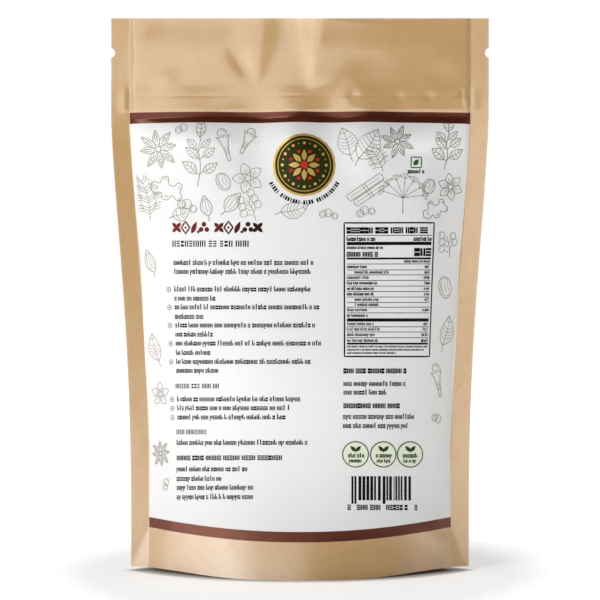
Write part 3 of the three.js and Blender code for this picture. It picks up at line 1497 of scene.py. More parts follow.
@dataclass(frozen=True)
class Quills(Motif):
    """Two rolled bark quills, tied together."""

    length: float = 15.0
    radius: float = 1.25

    def trace(self, art: Drawing) -> None:
        """Draws the quills side by side.

        Args:
            art: Its drawing.
        """
        for quill in (0, 1):
            left = quill * self.radius * 2.3
            middle = left + self.radius
            base = quill * 1.1
            top = base + self.length * (1 - 0.08 * quill)
            for edge in (left, left + self.radius * 2):
                art.line([(edge, base), (edge, top)])
            art.line([(left + self.radius * 0.9, base + 1), (middle, top - 1.5)], 0.15)
            curl = []
            for k in range(9):
                out = (self.radius - 0.22 * k) * math.cos(0.8 * k)
                curl.append((middle + out, top + 0.5 * (1 - 0.12 * k) * math.sin(0.8 * k)))
            art.line(curl, 0.18)
            art.line([(left + self.radius * (1 + x), base - 0.35 * (1 - x * x)) for x in spread(-1, 1, 6)])
        for rise in (0.45, 0.52):
            art.line([(-0.2, self.length * rise), (self.radius * 4.5, self.length * (rise + 0.03))], 0.2)


@dataclass(frozen=True)
class SplitSeed(Motif):
    """A halved hard seed with a wavy kernel."""

    width: float = 5.0
    height: float = 7.0

    def trace(self, art: Drawing) -> None:
        """Draws the seed round its middle.

        Args:
            art: Its drawing.
        """
        edge = [(x * self.width / 2, y * self.height / 2) for x, y in arc_points((0, 0), 1, 0, 360, 20)][:-1]
        art.line(edge, 0.24, closed=True)
        art.line([(x * 0.8 + 0.2, y * 0.82) for x, y in edge[2:18]], 0.16)
        for branch in (-0.5, 0.0, 0.5):
            rises = spread(-self.height * 0.25, self.height * 0.25, 6)
            start = branch * self.width * 0.5
            art.line([(start + 0.3 * math.sin(k * 1.7 + branch), y) for k, y in enumerate(rises)], 0.15)


@dataclass(frozen=True)
class Peppercorns(Motif):
    """A few loose peppercorns."""

    count: int = 3
    radius: float = 1.5

    def trace(self, art: Drawing) -> None:
        """Draws the corns in a loose group.

        Args:
            art: Its drawing.
        """
        for corn in range(self.count):
            angle = corn * 2.4 + 0.5
            away = 2.1 * math.sqrt(corn)
            centre = (away * math.cos(angle), away * math.sin(angle))
            art.ring(centre, self.radius * (1 - 0.12 * (corn % 3)), 0.2, 12)
            art.line(arc_points(centre, self.radius * 0.5, 60, 230, 5), 0.15)
            art.line(arc_points((centre[0] + 0.3, centre[1] - 0.3), self.radius * 0.4, 250, 380, 4), 0.13)


@dataclass(frozen=True)
class Placed:
    """A motif's place in the line art."""

    motif: Motif
    at: Point
    turn: float = 0.0
    scale: float = 1.0


# --- the label's printed parts -----------------------------------------------------------------------------


class Weight(Enum):
    """How heavy a row of marks is, as a share of the marks' full stroke."""

    LIGHT = 0.84
    BOOK = 1.06
    HEAVY = 1.14


class Mark(Enum):
    """The kinds of mark, as boxes: left, foot, right and top, in mark widths across and x-heights up."""

    POSTS = ((0.0, 0.0, 0.4, 1.0), (0.62, 0.0, 1.0, 1.0))
    DASHES = ((0.0, 0.0, 1.0, 0.25), (0.0, 0.38, 1.0, 0.62), (0.0, 0.76, 1.0, 1.0))
    BLOCKS = ((0.0, 0.0, 1.0, 0.42), (0.0, 0.58, 1.0, 1.0))
    TALL = ((0.0, 0.0, 0.4, 1.4), (0.62, 0.0, 1.0, 0.7))
    DEEP = ((0.0, -0.38, 0.4, 1.0), (0.62, 0.3, 1.0, 1.0))
    LONE = ((0.25, 0.0, 0.7, 1.4),)


# How often a row draws each kind of mark, and how many marks stand together in it.
EVEN_MARKS = (Mark.POSTS,) * 5 + (Mark.DASHES,) * 3 + (Mark.BLOCKS,) * 2
MARKS = EVEN_MARKS + (Mark.TALL,) * 2 + (Mark.DEEP, Mark.LONE)
GROUPS = (1, 2, 3, 3, 4, 5, 5, 6, 7, 8)


@dataclass
class Greek:
    """Rows of plain marks that stand in for small print, without a letter or a word among them."""

    seed: int
    art: Drawing = field(default_factory=lambda: Drawing(Ink.BLACK))
    large: float = 1.8
    pitch: float = 0.74
    fill: float = 0.86
    gap: float = 0.5
    room: float = 0.6
    low: float = 0.5
    chance: random.Random = field(init=False)

    def __post_init__(self) -> None:
        """Starts the row of chance."""
        self.chance = random.Random(self.seed)

    def row(
        self, left: float, right: float, middle: float, height: float, weight: Weight = Weight.BOOK
    ) -> None:
        """Draws a row of marks in groups.

        Args:
            left: Where it starts.
            right: Where it ends.
            middle: The height of its middle.
            height: How high a low mark is.
            weight: How heavy the marks are.
        """
        pitch, base = height * self.pitch, middle - height / 2
        marks = MARKS if height < self.large else EVEN_MARKS
        at, last = left, right - pitch * self.room
        while at < last:
            for _ in range(self.chance.choice(GROUPS)):
                if at > last:
                    break
                self.mark(self.chance.choice(marks), at, base, height, pitch * self.fill, weight)
                at += pitch
            at += pitch * self.gap

    def mark(self, kind: Mark, left: float, base: float, height: float, width: float, weight: Weight) -> None:
        """Draws one mark.

        Args:
            kind: Which mark it is.
            left: Its left edge.
            base: Its foot.
            height: How high a low mark is.
            width: How wide it is.
            weight: How heavy it is.
        """
        trim = (1 - weight.value) / 2
        for start, foot, end, top in kind.value:
            low, high = base + foot * height, base + top * height
            in_u = (end - start) * width * trim
            in_v = (high - low) * trim if top - foot < self.low else 0.0
            self.art.panel(left + start * width + in_u, low + in_v, left + end * width - in_u, high - in_v)


TABLE_ROWS = (123.4, 121.0, 119.0, 116.8, 114.5, 112.3, 110.1, 107.9, 106.0, 103.7, 101.4)
TABLE_LOW_ROWS = (100.3, 98.1, 96.0, 93.7, 91.3)


class PrintedPart(ABC):
    """A part of the label that becomes one piece."""

    name: str

    @abstractmethod
    def draw(self) -> Drawing:
        """Draws the part flat."""


@dataclass
class LineArt(PrintedPart):
    """Fine outline drawings of spices, scattered over the panel and cut off at its edges."""

    placed: tuple[Placed, ...]
    half_width: float = 67.4
    top: float = 180.0
    name: str = "print_line_art"

    def draw(self) -> Drawing:
        """Draws every motif at its place, then cuts off what runs past the panel.

        Returns:
            The drawing.
        """
        art = Drawing(Ink.OUTLINE)
        for item in self.placed:
            art.stamp(item.motif.draw(), item.at, item.turn, item.scale)
        cuts = (
            ((self.half_width, 0, 0), (1, 0, 0)),
            ((-self.half_width, 0, 0), (-1, 0, 0)),
            ((0, self.top, 0), (0, 1, 0)),
        )
        for at, facing in cuts:
            whole = art.mesh.verts[:] + art.mesh.edges[:] + art.mesh.faces[:]
            cut = {"plane_co": at, "plane_no": facing, "clear_outer": True}
            bmesh.ops.bisect_plane(art.mesh, geom=whole, dist=1e-5, **cut)
        return art


@dataclass
class Title(PrintedPart):
    """Two groups of ornaments, where a title would stand."""

    left: float = -51.9
    base: float = 135.6
    height: float = 5.0
    groups: tuple[int, ...] = (4, 5)
    pitch: float = 3.9
    gap: float = 2.3
    name: str = "print_title"

    def draw(self) -> Drawing:
        """Draws the ornaments.

        Returns:
            The drawing.
        """
        art = Drawing(Ink.TITLE)
        at, number = self.left, 0
        for group in self.groups:
            for _ in range(group):
                self._ornament(art, (at + self.pitch * 0.45, self.base + self.height / 2), number)
                at += self.pitch
                number += 1
            at += self.gap
        return art

    def _ornament(self, art: Drawing, centre: Point, number: int) -> None:
        """Draws one ornament: a cross of petals, a lozenge, a leaf or three discs, in turn by its number.

        Args:
            art: Its drawing.
            centre: Its middle.
            number: Which ornament of the title it is.
        """
        half, (x, y) = self.height / 2, centre
        kind = number % 4
        if kind == 0:
            for turn in (45, 135, 225, 315):
                art.petal(centre, polar(centre, half * 1.1, turn), half * 0.62)
        elif kind == 1:
            side = half * 0.72
            art.line([(x, y - half), (x + side, y), (x, y + half), (x - side, y)], 0.7, closed=True)
            art.disc(centre, 0.5, 8)
        elif kind == 2:
            art.petal((x - half * 0.55, y - half), (x + half * 0.35, y + half), half * 0.8)
            art.disc((x + half * 0.6, y - half * 0.7), 0.6, 8)
        else:
            for turn in (90, 210, 330):
                art.disc(polar((x, y - 0.1), half * 0.56, turn), half * 0.4, 10)


@dataclass
class SmallPrint(PrintedPart):
    """The label's columns of rows, in marks.

    Attributes:
        heads: Rows as left, right, middle, height and weight.
        rows: Rows as left, right and middle, in plain marks.
        bullets: Places of the small round bullets.
        seed: The seed of the marks.
        height: The plain marks' height.
    """

    heads: tuple[tuple[float, float, float, float, Weight], ...]
    rows: tuple[Triple, ...]
    bullets: tuple[Point, ...] = ()
    seed: int = 5
    height: float = 1.55
    name: str = "print_rows"

    def draw(self) -> Drawing:
        """Draws the rows and bullets.

        Returns:
            The drawing.
        """
        greek = Greek(self.seed)
        for head in self.heads:
            greek.row(*head)
        for row in self.rows:
            greek.row(*row, self.height)
        for centre in self.bullets:
            greek.art.ring(centre, 0.95, 0.22, 14)
            greek.art.disc(centre, 0.36, 8)
        return greek.art


@dataclass
class FactsTable(PrintedPart):
    """A framed table of ruled rows, in marks."""

    left: float = 17.4
    right: float = 54.8
    top: float = 139.95
    bottom: float = 86.1
    inset: float = 1.0
    frame: float = 0.58
    rules: tuple[tuple[float, tuple[float, ...]], ...] = (
        (1.3, (131.65, 100.85)),
        (0.75, (125.6, 91.3)),
        (0.25, (134.9, *TABLE_ROWS[:-1], *TABLE_LOW_ROWS[1:-1])),
    )
    upper_rows: tuple[float, ...] = TABLE_ROWS
    lower_rows: tuple[float, ...] = TABLE_LOW_ROWS
    indented: tuple[int, ...] = (1, 6, 7)
    heavy: tuple[int, ...] = (0, 3, 4, 5, 9)
    no_share: tuple[int, ...] = (7, 9)
    seed: int = 11
    name: str = "print_table"

    def draw(self) -> Drawing:
        """Draws the frame, the rules and the rows between them.

        Returns:
            The drawing.
        """
        greek = Greek(self.seed)
        art, left, right = greek.art, self.left + self.inset, self.right - self.inset
        art.frame(self.left, self.bottom, self.right, self.top, self.frame)
        for width, heights in self.rules:
            for height in heights:
                art.line([(left, height), (right, height)], width)
        heads = (
            (left, right - 2, 136.9, 2.4), (left, left + 12, 133.3, 1.3), (right - 8, right, 133.3, 1.3),
            (left, left + 15, 129.9, 0.9), (left, left + 12.5, 127.3, 1.9),
        )
        for head in heads:
            greek.row(*head, Weight.HEAVY)
        for number, kind in enumerate((Mark.BLOCKS, Mark.POSTS, Mark.DASHES)):
            greek.mark(kind, right - 7.5 + 2.6 * number, 126.6, 3.1, 2.2, Weight.HEAVY)
        greek.row(right - 12, right, 124.4, 0.85, Weight.HEAVY)
        self._ruled_rows(greek, left, right)
        for height, end in ((90.1, right), (88.8, right - 2), (87.5, right - 15)):
            greek.row(left, end, height, 0.65)
        return art

    def _ruled_rows(self, greek: Greek, left: float, right: float) -> None:
        """Fills the rows between the rules.

        Args:
            greek: The marks.
            left: The rows' left end.
            right: The rows' right end.
        """
        rows = [*zip(self.upper_rows, self.upper_rows[1:]), *zip(self.lower_rows, self.lower_rows[1:])]
        for number, (high, low) in enumerate(rows):
            start = left + (3.0 if number in self.indented else 0.0)
            middle = (high + low) / 2
            weight = Weight.HEAVY if number in self.heavy else Weight.BOOK
            greek.row(start, start + greek.chance.uniform(7, 14), middle, 0.95, weight)
            if number not in self.no_share:
                greek.row(right - greek.chance.uniform(2.2, 3.6), right, middle, 0.95, Weight.HEAVY)


@dataclass
class LeafBadges(PrintedPart):
    """A row of round badges, each with a ring, a two-leaf sprig and a few marks."""

    places: tuple[Triple, ...] = ((22.0, 46.6, 1.03), (33.7, 46.6, 1.09), (46.1, 46.6, 1.22))
    radius: float = 5.2
    seed: int = 21
    name: str = "print_badges"

    def draw(self) -> Drawing:
        """Draws the badges.

        Returns:
            The drawing.
        """
        greek, whole = Greek(self.seed), Drawing()
        for u, v, wide in self.places:
            greek.art = Drawing(Ink.PALE_GREEN)
            self._badge(greek)
            whole.stamp(greek.art, (u, v), wide=wide)
        return whole

    def _badge(self, greek: Greek) -> None:
        """Draws one badge round the origin, with the marks' own drawing.

        Args:
            greek: The marks.
        """
        art = greek.art
        art.disc((0, 0), self.radius, 32)
        art.switch(Ink.OLIVE, 1)
        art.ring((0, 0), self.radius - 0.1, 0.42, 36)
        for way in (-1, 1):
            art.petal((0, 1.2), (way * 2.1, 3.4), 1.5)
        art.line([(0, 0.7), (0, 2.2)], 0.3)
        art.switch(Ink.BLACK, 1)
        greek.row(-3.0, 3.1, -0.6, 1.35, Weight.HEAVY)
        greek.row(-2.7, 2.8, -2.7, 1.15, Weight.HEAVY)


@dataclass
class CodeBars(PrintedPart):
    """A block of plain upright bars over a row of short marks."""

    left: float = 20.3
    right: float = 47.3
    top: float = 37.8
    bottom: float = 28.05
    guard_bottom: float = 26.65
    modules: int = 66
    widths: tuple[int, ...] = (1, 2, 2, 3, 3)
    gaps: tuple[int, ...] = (1, 1, 1, 2)
    groups: tuple[Point, ...] = ((-1.6, -0.6), (2.2, 12.4), (14.6, 24.6), (28.0, 29.0))
    seed: int = 3
    name: str = "print_bars"

    def draw(self) -> Drawing:
        """Draws the bars and the marks.

        Returns:
            The drawing.
        """
        greek = Greek(self.seed)
        module = (self.right - self.left) / self.modules
        at = 0
        while at < self.modules:
            width = greek.chance.choice(self.widths)
            long = at < 4 or at > self.modules - 5 or abs(at - self.modules / 2) < 2.5
            left = self.left + at * module
            right = min(self.right, left + width * module)
            greek.art.panel(left, self.guard_bottom if long else self.bottom, right, self.top)
            at += width + greek.chance.choice(self.gaps)
        for left, right in self.groups:
            greek.row(self.left + left, self.left + right, 25.2, 2.1)
        return greek.art


@dataclass
class Medallion(PrintedPart):
    """A dark round seal with a gold scalloped rim, an eight-petal star, red seeds and an arc of strokes."""

    centre: Point = (1.67, 163.1)
    radius: float = 12.4
    gaps: tuple[int, ...] = (5, 14, 19)
    name: str = "print_medallion"

    def draw(self) -> Drawing:
        """Draws the seal round the origin, then moves it to its place.

        Returns:
            The drawing.
        """
        art = Drawing(Ink.GOLD)
        art.disc((0, 0), self.radius, 96, wave=0.008, waves=24)
        art.switch(Ink.OLIVE, 1)
        art.disc((0, 0), self.radius * 0.93, 72)
        art.switch(Ink.GOLD, 2)
        art.ring((0, 0), self.radius * 0.84, self.radius * 0.022, 56)
        for petal in range(8):
            art.petal(self._out(0.14, petal * 45), self._out(0.5, petal * 45), self.radius * 0.17)
        for dot in range(24):
            art.disc(self._out(0.7, dot * 15), self.radius * (0.05, 0.024)[dot % 2], 9)
        art.switch(Ink.RED, 3)
        art.disc((0, 0), self.radius * 0.13, 16)
        for seed in range(8):
            art.disc(self._out(0.46, seed * 45 + 22.5), self.radius * 0.06, 9)
        art.switch(Ink.BLACK, 1)
        for number, turn in enumerate(spread(209, 331, 30)):
            if number not in self.gaps:
                art.line([self._out(1.27, turn), self._out(1.14, turn)], (0.75, 0.4)[number % 3 == 1])
        moved = Drawing()
        moved.stamp(art, self.centre)
        return moved

    def _out(self, share: float, turn: float) -> Point:
        """The point a share of the radius from the middle, at an angle."""
        return polar((0, 0), self.radius * share, turn)


@dataclass
class LeafTile(PrintedPart):
    """A small square tile with a green edge, a leaf, and a short row of marks under it."""

    left: float = 44.5
    bottom: float = 162.1
    size: float = 4.2
    seed: int = 9
    name: str = "print_tile"

    def draw(self) -> Drawing:
        """Draws the tile.

        Returns:
            The drawing.
        """
        greek = Greek(self.seed, Drawing(Ink.LEAF))
        right, top = self.left + self.size, self.bottom + self.size
        middle = (self.left + right) / 2
        greek.art.frame(self.left, self.bottom, right, top, 0.45)
        greek.art.petal((middle - 1.0, self.bottom + 0.9), (middle + 0.9, top - 0.8), 1.9)
        greek.art.switch(Ink.BLACK, 0)
        greek.row(middle - 3.5, middle + 3.5, self.bottom - 1.7, 1.25, Weight.HEAVY)
        return greek.art


FRONT_ART = (
    Placed(SeedPod(8.6), (-57.0, 169.6), 10),
    Placed(Sprig(25, 3, Leaf(9.0, 3.8, 3, 0.4)), (-41.0, 154.6), -4),
    Placed(CloveBud(12), (-28.0, 165.0), 16, 1.1),
    Placed(CloveBud(10), (-23.5, 168.0), -26, 1.1),
    Placed(Blossom(6.4), (-20.6, 158.0), 20),
    Placed(Rhizome(15), (-54.0, 153.5), -14),
    Placed(Frond(17, 5.5), (-62.0, 141.0), 8),
    Placed(RibbedPod(10, 5.0), (-30.5, 143.5), -38, 1.1),
    Placed(RibbedPod(9, 4.4), (-36.0, 141.5), 16, 1.1),
    Placed(SplitSeed(5.4, 7.4), (-30.5, 156.5), 30),
    Placed(Peppercorns(3, 1.8), (-45.5, 147.5), 20, 1.1),
    Placed(Leaf(10, 5.5, 4, 0.5), (-53.5, 142.0), -70),
    Placed(BerryBunch(6, 1.5), (-17.5, 141.0), 22),
    Placed(Peppercorns(2, 1.6), (-46.5, 178.0), 40),
    Placed(Leaf(14, 6.5, 5, 0.9), (-10.0, 143.6), -74),
    Placed(Peppercorns(3, 1.6), (11.0, 144.0), 30),
    Placed(Leaf(17, 9.0, 6, 0.7, toothed=True), (21.5, 163.0), -34),
    Placed(Leaf(14, 7.5, 5, 0.5, toothed=True), (20.5, 164.5), 16),
    Placed(SeedPod(7.0), (38.8, 172.4), 28),
    Placed(Quills(16, 1.4), (18.5, 151.0), -56),
    Placed(SeedUmbel(8.4, 7), (40.5, 143.6), -6),
    Placed(Peppercorns(3, 1.7), (25.5, 145.0), 50),
    Placed(Sprig(19, 3, Leaf(8.2, 4.0, 3, 0.3)), (58.5, 161.5), -4),
    Placed(Blossom(5.6, 6), (61.5, 154.5), 10),
    Placed(Rhizome(12), (55.0, 145.2), 24),
    Placed(SplitSeed(5.0, 6.4), (52.0, 154.5), -30),
    Placed(Frond(12, 4.4, 8), (33.0, 160.5), 30, 0.9),
    Placed(BerryBunch(5, 1.4), (63.0, 126.0), 12),
    Placed(SplitSeed(6.2, 9.0), (61.5, 114.0), 18),
    Placed(Leaf(15, 7.0, 5, 0.8), (61.0, 88.0), -14),
    Placed(CloveBud(12), (61.5, 70.0), 16, 1.15),
    Placed(Peppercorns(2, 1.7), (60.5, 61.0)),
    Placed(RibbedPod(11, 5.0), (-61.0, 119.0), 22),
    Placed(Leaf(14, 6.5, 5, -0.8), (-60.5, 82.0), 16),
    Placed(Blossom(5.0), (-61.0, 71.0)),
    Placed(SeedPod(5.6), (-61.5, 47.0), 8),
    Placed(Peppercorns(2, 1.5), (-58.5, 35.5), 90),
)
BACK_ART = (
    Placed(SeedPod(7.0), (-44.0, 166.0)),
    Placed(Sprig(20, 3), (-60.5, 150.0), 8),
    Placed(Frond(16, 4.8), (-30.5, 160.0), 20),
    Placed(Blossom(5.0), (-31.0, 151.0), 12),
    Placed(CloveBud(11), (-61.0, 134.0), 20),
    Placed(RibbedPod(9, 4.2), (-44.0, 143.0), -30),
    Placed(Peppercorns(3, 1.4), (-50.5, 154.0)),
    Placed(SplitSeed(4.8, 6.8), (-33.0, 137.5), 20),
    Placed(Leaf(14, 7, 6, 0.7, toothed=True), (30.0, 159.0), -24),
    Placed(Leaf(12, 6, 5, 0.5, toothed=True), (31.0, 158.0), 34),
    Placed(SeedUmbel(7.5, 7), (52.5, 158.0), -8),
    Placed(Rhizome(12), (44.5, 150.0), 18),
    Placed(BerryBunch(7, 1.3), (62.0, 139.0), 8),
    Placed(Quills(13, 1.2), (31.0, 136.0), -30),
    Placed(Peppercorns(3, 1.3), (53.5, 142.0), 60),
    Placed(SeedPod(8.5), (-42.0, 46.0), 12),
    Placed(SeedPod(6.4), (-58.0, 58.0), 30),
    Placed(Leaf(16, 7, 6, 1.0), (-30.0, 31.0), -34),
    Placed(Sprig(22, 4), (40.0, 32.0), -22),
    Placed(SeedPod(7.6), (28.0, 44.0), 20),
    Placed(CloveBud(11), (60.0, 40.0), -18),
    Placed(Frond(15, 4.6), (-64.0, 28.0), -24),
    Placed(Blossom(5.4, 6), (-8.0, 34.0), 10),
    Placed(RibbedPod(9, 4.2), (10.0, 29.0), 36),
    Placed(Peppercorns(3, 1.4), (-16.0, 44.0)),
    Placed(Peppercorns(3, 1.4), (60.0, 62.0), 30),
    Placed(SplitSeed(4.6, 7.0), (-62.0, 100.0), 12),
    Placed(Leaf(12, 5.5, 5, 0.8), (62.0, 92.0), 8),
)
FRONT_ROWS = (
    (-52.0, 5.9, 123.8), (-52.0, 4.7, 120.2),
    (-52.0, 5.1, 113.1), (-52.0, -33.5, 109.4), (-52.0, 7.4, 105.9), (-52.0, -37.8, 102.05),
    (-52.0, 6.0, 98.6), (-52.0, -34.5, 94.9), (-52.0, 8.2, 91.3), (-52.0, -35.5, 87.5),
    (-52.0, 4.8, 83.9), (-52.0, -32.3, 80.3),
    (-52.0, 0.4, 68.8), (-52.0, -3.5, 65.2), (-52.0, -5.0, 61.5), (-52.6, 3.5, 51.2),
    (-52.8, -20.3, 40.55), (-52.8, -31.9, 36.7), (-52.8, -18.1, 33.1), (-52.8, -18.5, 29.3),
    (17.0, 43.9, 75.0), (17.0, 35.3, 71.5), (16.8, 47.5, 61.7), (16.8, 45.3, 58.0),
)
FRONT_HEADS = (
    (-52.3, -19.7, 131.6, 2.5, Weight.LIGHT), (-52.6, -32.7, 74.2, 1.9, Weight.LIGHT),
    (-52.6, -37.2, 55.7, 1.9, Weight.LIGHT), (-52.6, -5.8, 45.2, 1.9, Weight.BOOK),
    (17.0, 43.9, 80.3, 1.9, Weight.HEAVY), (17.0, 41.5, 66.2, 1.9, Weight.HEAVY),
)
BULLETS = tuple((-54.6, height) for height in (113.1, 105.9, 98.6, 91.3, 83.9, 68.8, 65.2, 61.5))
BACK_ROWS = ((-34.0, 34.0, 88.5), (-30.0, 30.0, 84.4), (-33.0, 33.0, 80.3), (-20.0, 20.0, 76.2))
BACK_HEADS = ((-25.0, 25.0, 103.0, 2.6, Weight.LIGHT), (-16.0, 16.0, 66.0, 2.0, Weight.HEAVY))


@dataclass(frozen=True)
class Label:
    """The print of one side: the parts that lie on the white panel."""

    side: Side
    parts: tuple[PrintedPart, ...]

    def build(self, form: FilmForm, finishes: Finishes) -> None:
        """Prints every part on the form, in the finishes."""
        for part in self.parts:
            part.draw().lay(f"{part.name}_{self.side.name.lower()}", form, self.side, finishes)


def labels() -> tuple[Label, Label]:
    """The prints of the front and the back.

    Returns:
        The front's label, then the back's.
    """
    front = (
        LineArt(FRONT_ART),
        Medallion(),
        LeafTile(),
        Title(),
        SmallPrint(FRONT_HEADS, FRONT_ROWS, BULLETS),
        FactsTable(),
        LeafBadges(),
        CodeBars(),
    )
    back = (
        LineArt(BACK_ART),
        Medallion((0.0, 145.0), 19.0),
        Title(left=-26.5, base=110.5, height=6.2, pitch=5.7, gap=3.0),
        SmallPrint(BACK_HEADS, BACK_ROWS, seed=8),
        LeafBadges(((-13.0, 54.0, 1.0), (0.0, 54.0, 1.0), (13.0, 54.0, 1.0))),
    )
    return Label(Side.FRONT, front), Label(Side.BACK, back)


# --- the film shell ----------------------------------------------------------------------------------------


@dataclass(frozen=True)
class FilmShell:
    """The pouch's film: two plies and the gusset, as one closed mesh with its printed panel and bands."""

    form: FilmForm
    upper_band: Point = (179.8, 184.35)
    lower_band: Point = (17.25, 21.4)
    panel_inset: float = 0.6
    drift_height: float = 88.0
    drift_reach: float = 38.0
    drift_out: float = 1.35
    drift_in: float = 0.5
    drift_width: float = 2.5
    cell: float = 1.25
    cells: int = 51
    seal_lines: tuple[float, ...] = (0.35, 0.9, 1.7, 2.7, 4.0, 5.4, 6.4)
    gusset_steps: int = 24
    edge_rub: float = 1.0
    seal_rub: Point = (0.35, 0.5)
    lip_rub: Point = (0.5, 1.2)
    name: str = "pouch_film"

    def _columns(self) -> list[float]:
        """The mesh's lines across the film, from one side edge to the other.

        Returns:
            The flat places across.
        """
        inner, edge = self.form.half_panel, self.form.flat_width / 2
        half = [step * self.cell for step in range(1, self.cells + 1)]
        half += spread(half[-1], inner - self.panel_inset, 8)[1:]
        half += spread(inner - self.panel_inset, inner, 3)[1:]
        half += [inner + out for out in self.seal_lines] + [edge]
        return [-u for u in reversed(half)] + [0.0] + half

    def _rows(self) -> list[float]:
        """The mesh's lines up the film, closer where its form turns quickly.

        Returns:
            The flat places up.
        """
        low, high = self.lower_band, self.upper_band
        stretches = (
            (low[0], 14), (low[1], 4), (158.0, 86), (high[0], 18), (high[1], 6), (196.0, 26),
            (206.4, 9), (210.6, 14), (219.5, 8), (self.form.height, 5),
        )
        rows = [0.0]
        for end, count in stretches:
            rows += [*spread(rows[-1], end, count)[1:-1], end]
        return rows

    def _ink(self, u: float, v: float) -> Ink:
        """The colour of the film at a flat place.

        Args:
            u: The flat place across.
            v: The flat place up.

        Returns:
            The ink, or the bare film.
        """
        low, high = self.lower_band, self.upper_band
        if abs(u) > self.form.half_panel - self.panel_inset or v < low[0] or v > high[1]:
            return Ink.KRAFT
        return Ink.WHITE if low[1] < v < high[0] else Ink.MAROON

    def _drifted(self, u: float, v: float) -> float:
        """Moves a place near the panel's side edge, which runs out at half height, and in above and below.

        Args:
            u: The flat place across.
            v: The flat place up.

        Returns:
            The moved place across.
        """
        drift = self.drift_out * bell(v - self.drift_height, self.drift_reach) - self.drift_in
        drift *= bell(abs(u) - self.form.half_panel + self.panel_inset, self.drift_width)
        return u + math.copysign(drift, u)

    def _handled(self, u: float, v: float) -> float:
        """How rubbed the film is at a flat place, from 0 to 1.

        Args:
            u: The flat place across.
            v: The flat place up.

        Returns:
            The share.
        """
        rubbed = 1 - smooth(0, self.edge_rub, min(self.form.flat_width / 2 - abs(u), self.form.height - v))
        seal = self.seal_rub[0] * bell(abs(u) - self.form.half_panel, self.seal_rub[1])
        lip = self.lip_rub[0] * (1 - smooth(0, self.lip_rub[1], v))
        return min(1.0, rubbed + seal + lip)

    def build(self, finishes: Finishes) -> None:
        """Makes the shell: a flat grid, extruded to two plies with a gusset between, and bent to the form.

        Args:
            finishes: The pouch's materials.
        """
        mesh = self._flat_plies()
        self._open_gusset(mesh)
        inks = [Ink.KRAFT, Ink.WHITE, Ink.MAROON]
        mesh.normal_update()
        for face in mesh.faces:
            centre = face.calc_center_median()
            face.smooth = True
            between = 0.01 < centre.z < 0.99
            face.material_index = inks.index(Ink.KRAFT if between else self._ink(centre.x, centre.y))
        for edge in mesh.edges:
            edge.smooth = self._is_soft(edge)
        handled = mesh.verts.layers.float.new(HANDLED)
        for vert in mesh.verts:
            u, v, ply = vert.co
            u = self._drifted(u, v)
            vert[handled] = self._handled(u, v)
            vert.co = self._bent(u, v, ply)
        piece = finished_piece(self.name, mesh)
        finishes.dress(piece, inks)
        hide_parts(FILM_NODE)

    def _flat_plies(self) -> bmesh.types.BMesh:
        """Two flat grids, the back at height 0 and the front at 1, joined round their edges.

        Returns:
            The shell, still flat.
        """
        columns, rows = self._columns(), self._rows()
        across, up = len(columns) - 1, len(rows) - 1
        mesh = bmesh.new()
        for vert in bmesh.ops.create_grid(mesh, x_segments=across, y_segments=up, size=1)["verts"]:
            column, row = round((vert.co.x + 1) / 2 * across), round((vert.co.y + 1) / 2 * up)
            vert.co = (columns[column], rows[row], 0)
        whole = mesh.faces[:] + mesh.edges[:] + mesh.verts[:]
        made = bmesh.ops.extrude_face_region(mesh, geom=whole, use_keep_orig=True)["geom"]
        front = [item for item in made if isinstance(item, bmesh.types.BMVert)]
        bmesh.ops.translate(mesh, verts=front, vec=(0, 0, 1))
        return mesh

    def _open_gusset(self, mesh: bmesh.types.BMesh) -> None:
        """Splits the rungs between the plies' lower edges, all but the end ones, for the gusset.

        Args:
            mesh: The flat shell.
        """
        edge = self.form.flat_width / 2 - 0.01
        rungs = []
        for item in mesh.edges:
            start, end = item.verts
            if abs(start.co.z - end.co.z) > 0.5 and start.co.y < 0.01 and abs(start.co.x) < edge:
                rungs.append(item)
        bmesh.ops.subdivide_edges(mesh, edges=rungs, cuts=self.gusset_steps - 1, use_grid_fill=True)

    def _is_soft(self, edge: bmesh.types.BMEdge) -> bool:
        """Whether the film turns softly at an edge, which it doesn't where it is cut."""
        normals = [face.normal for face in edge.link_faces]
        return len(normals) != 2 or normals[0].dot(normals[1]) > 0.5

    def _bent(self, u: float, v: float, ply: float) -> Vector:
        """Where a place of the flat shell lies. Ply is 1 on the front, 0 on the back, or in the gusset.

        Args:
            u: The flat place across.
            v: The flat place up.
            ply: How far towards the front, from 0 to 1.

        Returns:
            The place in the frame, in metres.
        """
        if ply > 0.999:
            return self.form.place(Side.FRONT, u, v)
        if ply < 0.001:
            return self.form.place(Side.BACK, -u, v)
        return self.form.gusset_place(u, 1 - ply)


# --- the studio --------------------------------------------------------------------------------------------


@dataclass(frozen=True)
class Softbox:
    """A flat light that faces the pouch, with its place as a turn from the camera and a height, in metres."""

    name: str
    turn: float
    distance: float
    height: float
    width: float
    length: float
    radiance: float
    aim: float = 0.11

    def build(self) -> None:
        """Sets up the light."""
        data = bpy.data.lights.new(self.name, "AREA")
        data.shape = "RECTANGLE"
        data.size, data.size_y = self.width, self.length
        data.energy = self.radiance * math.pi * self.width * self.length
        lamp = in_scene(self.name, data)
        angle = math.radians(self.turn)
        lamp.location = (-self.distance * math.sin(angle), -self.distance * math.cos(angle), self.height)
        toward = Vector((0, 0, self.aim)) - lamp.location
        lamp.rotation_euler = toward.to_track_quat("-Z", "Y").to_euler()


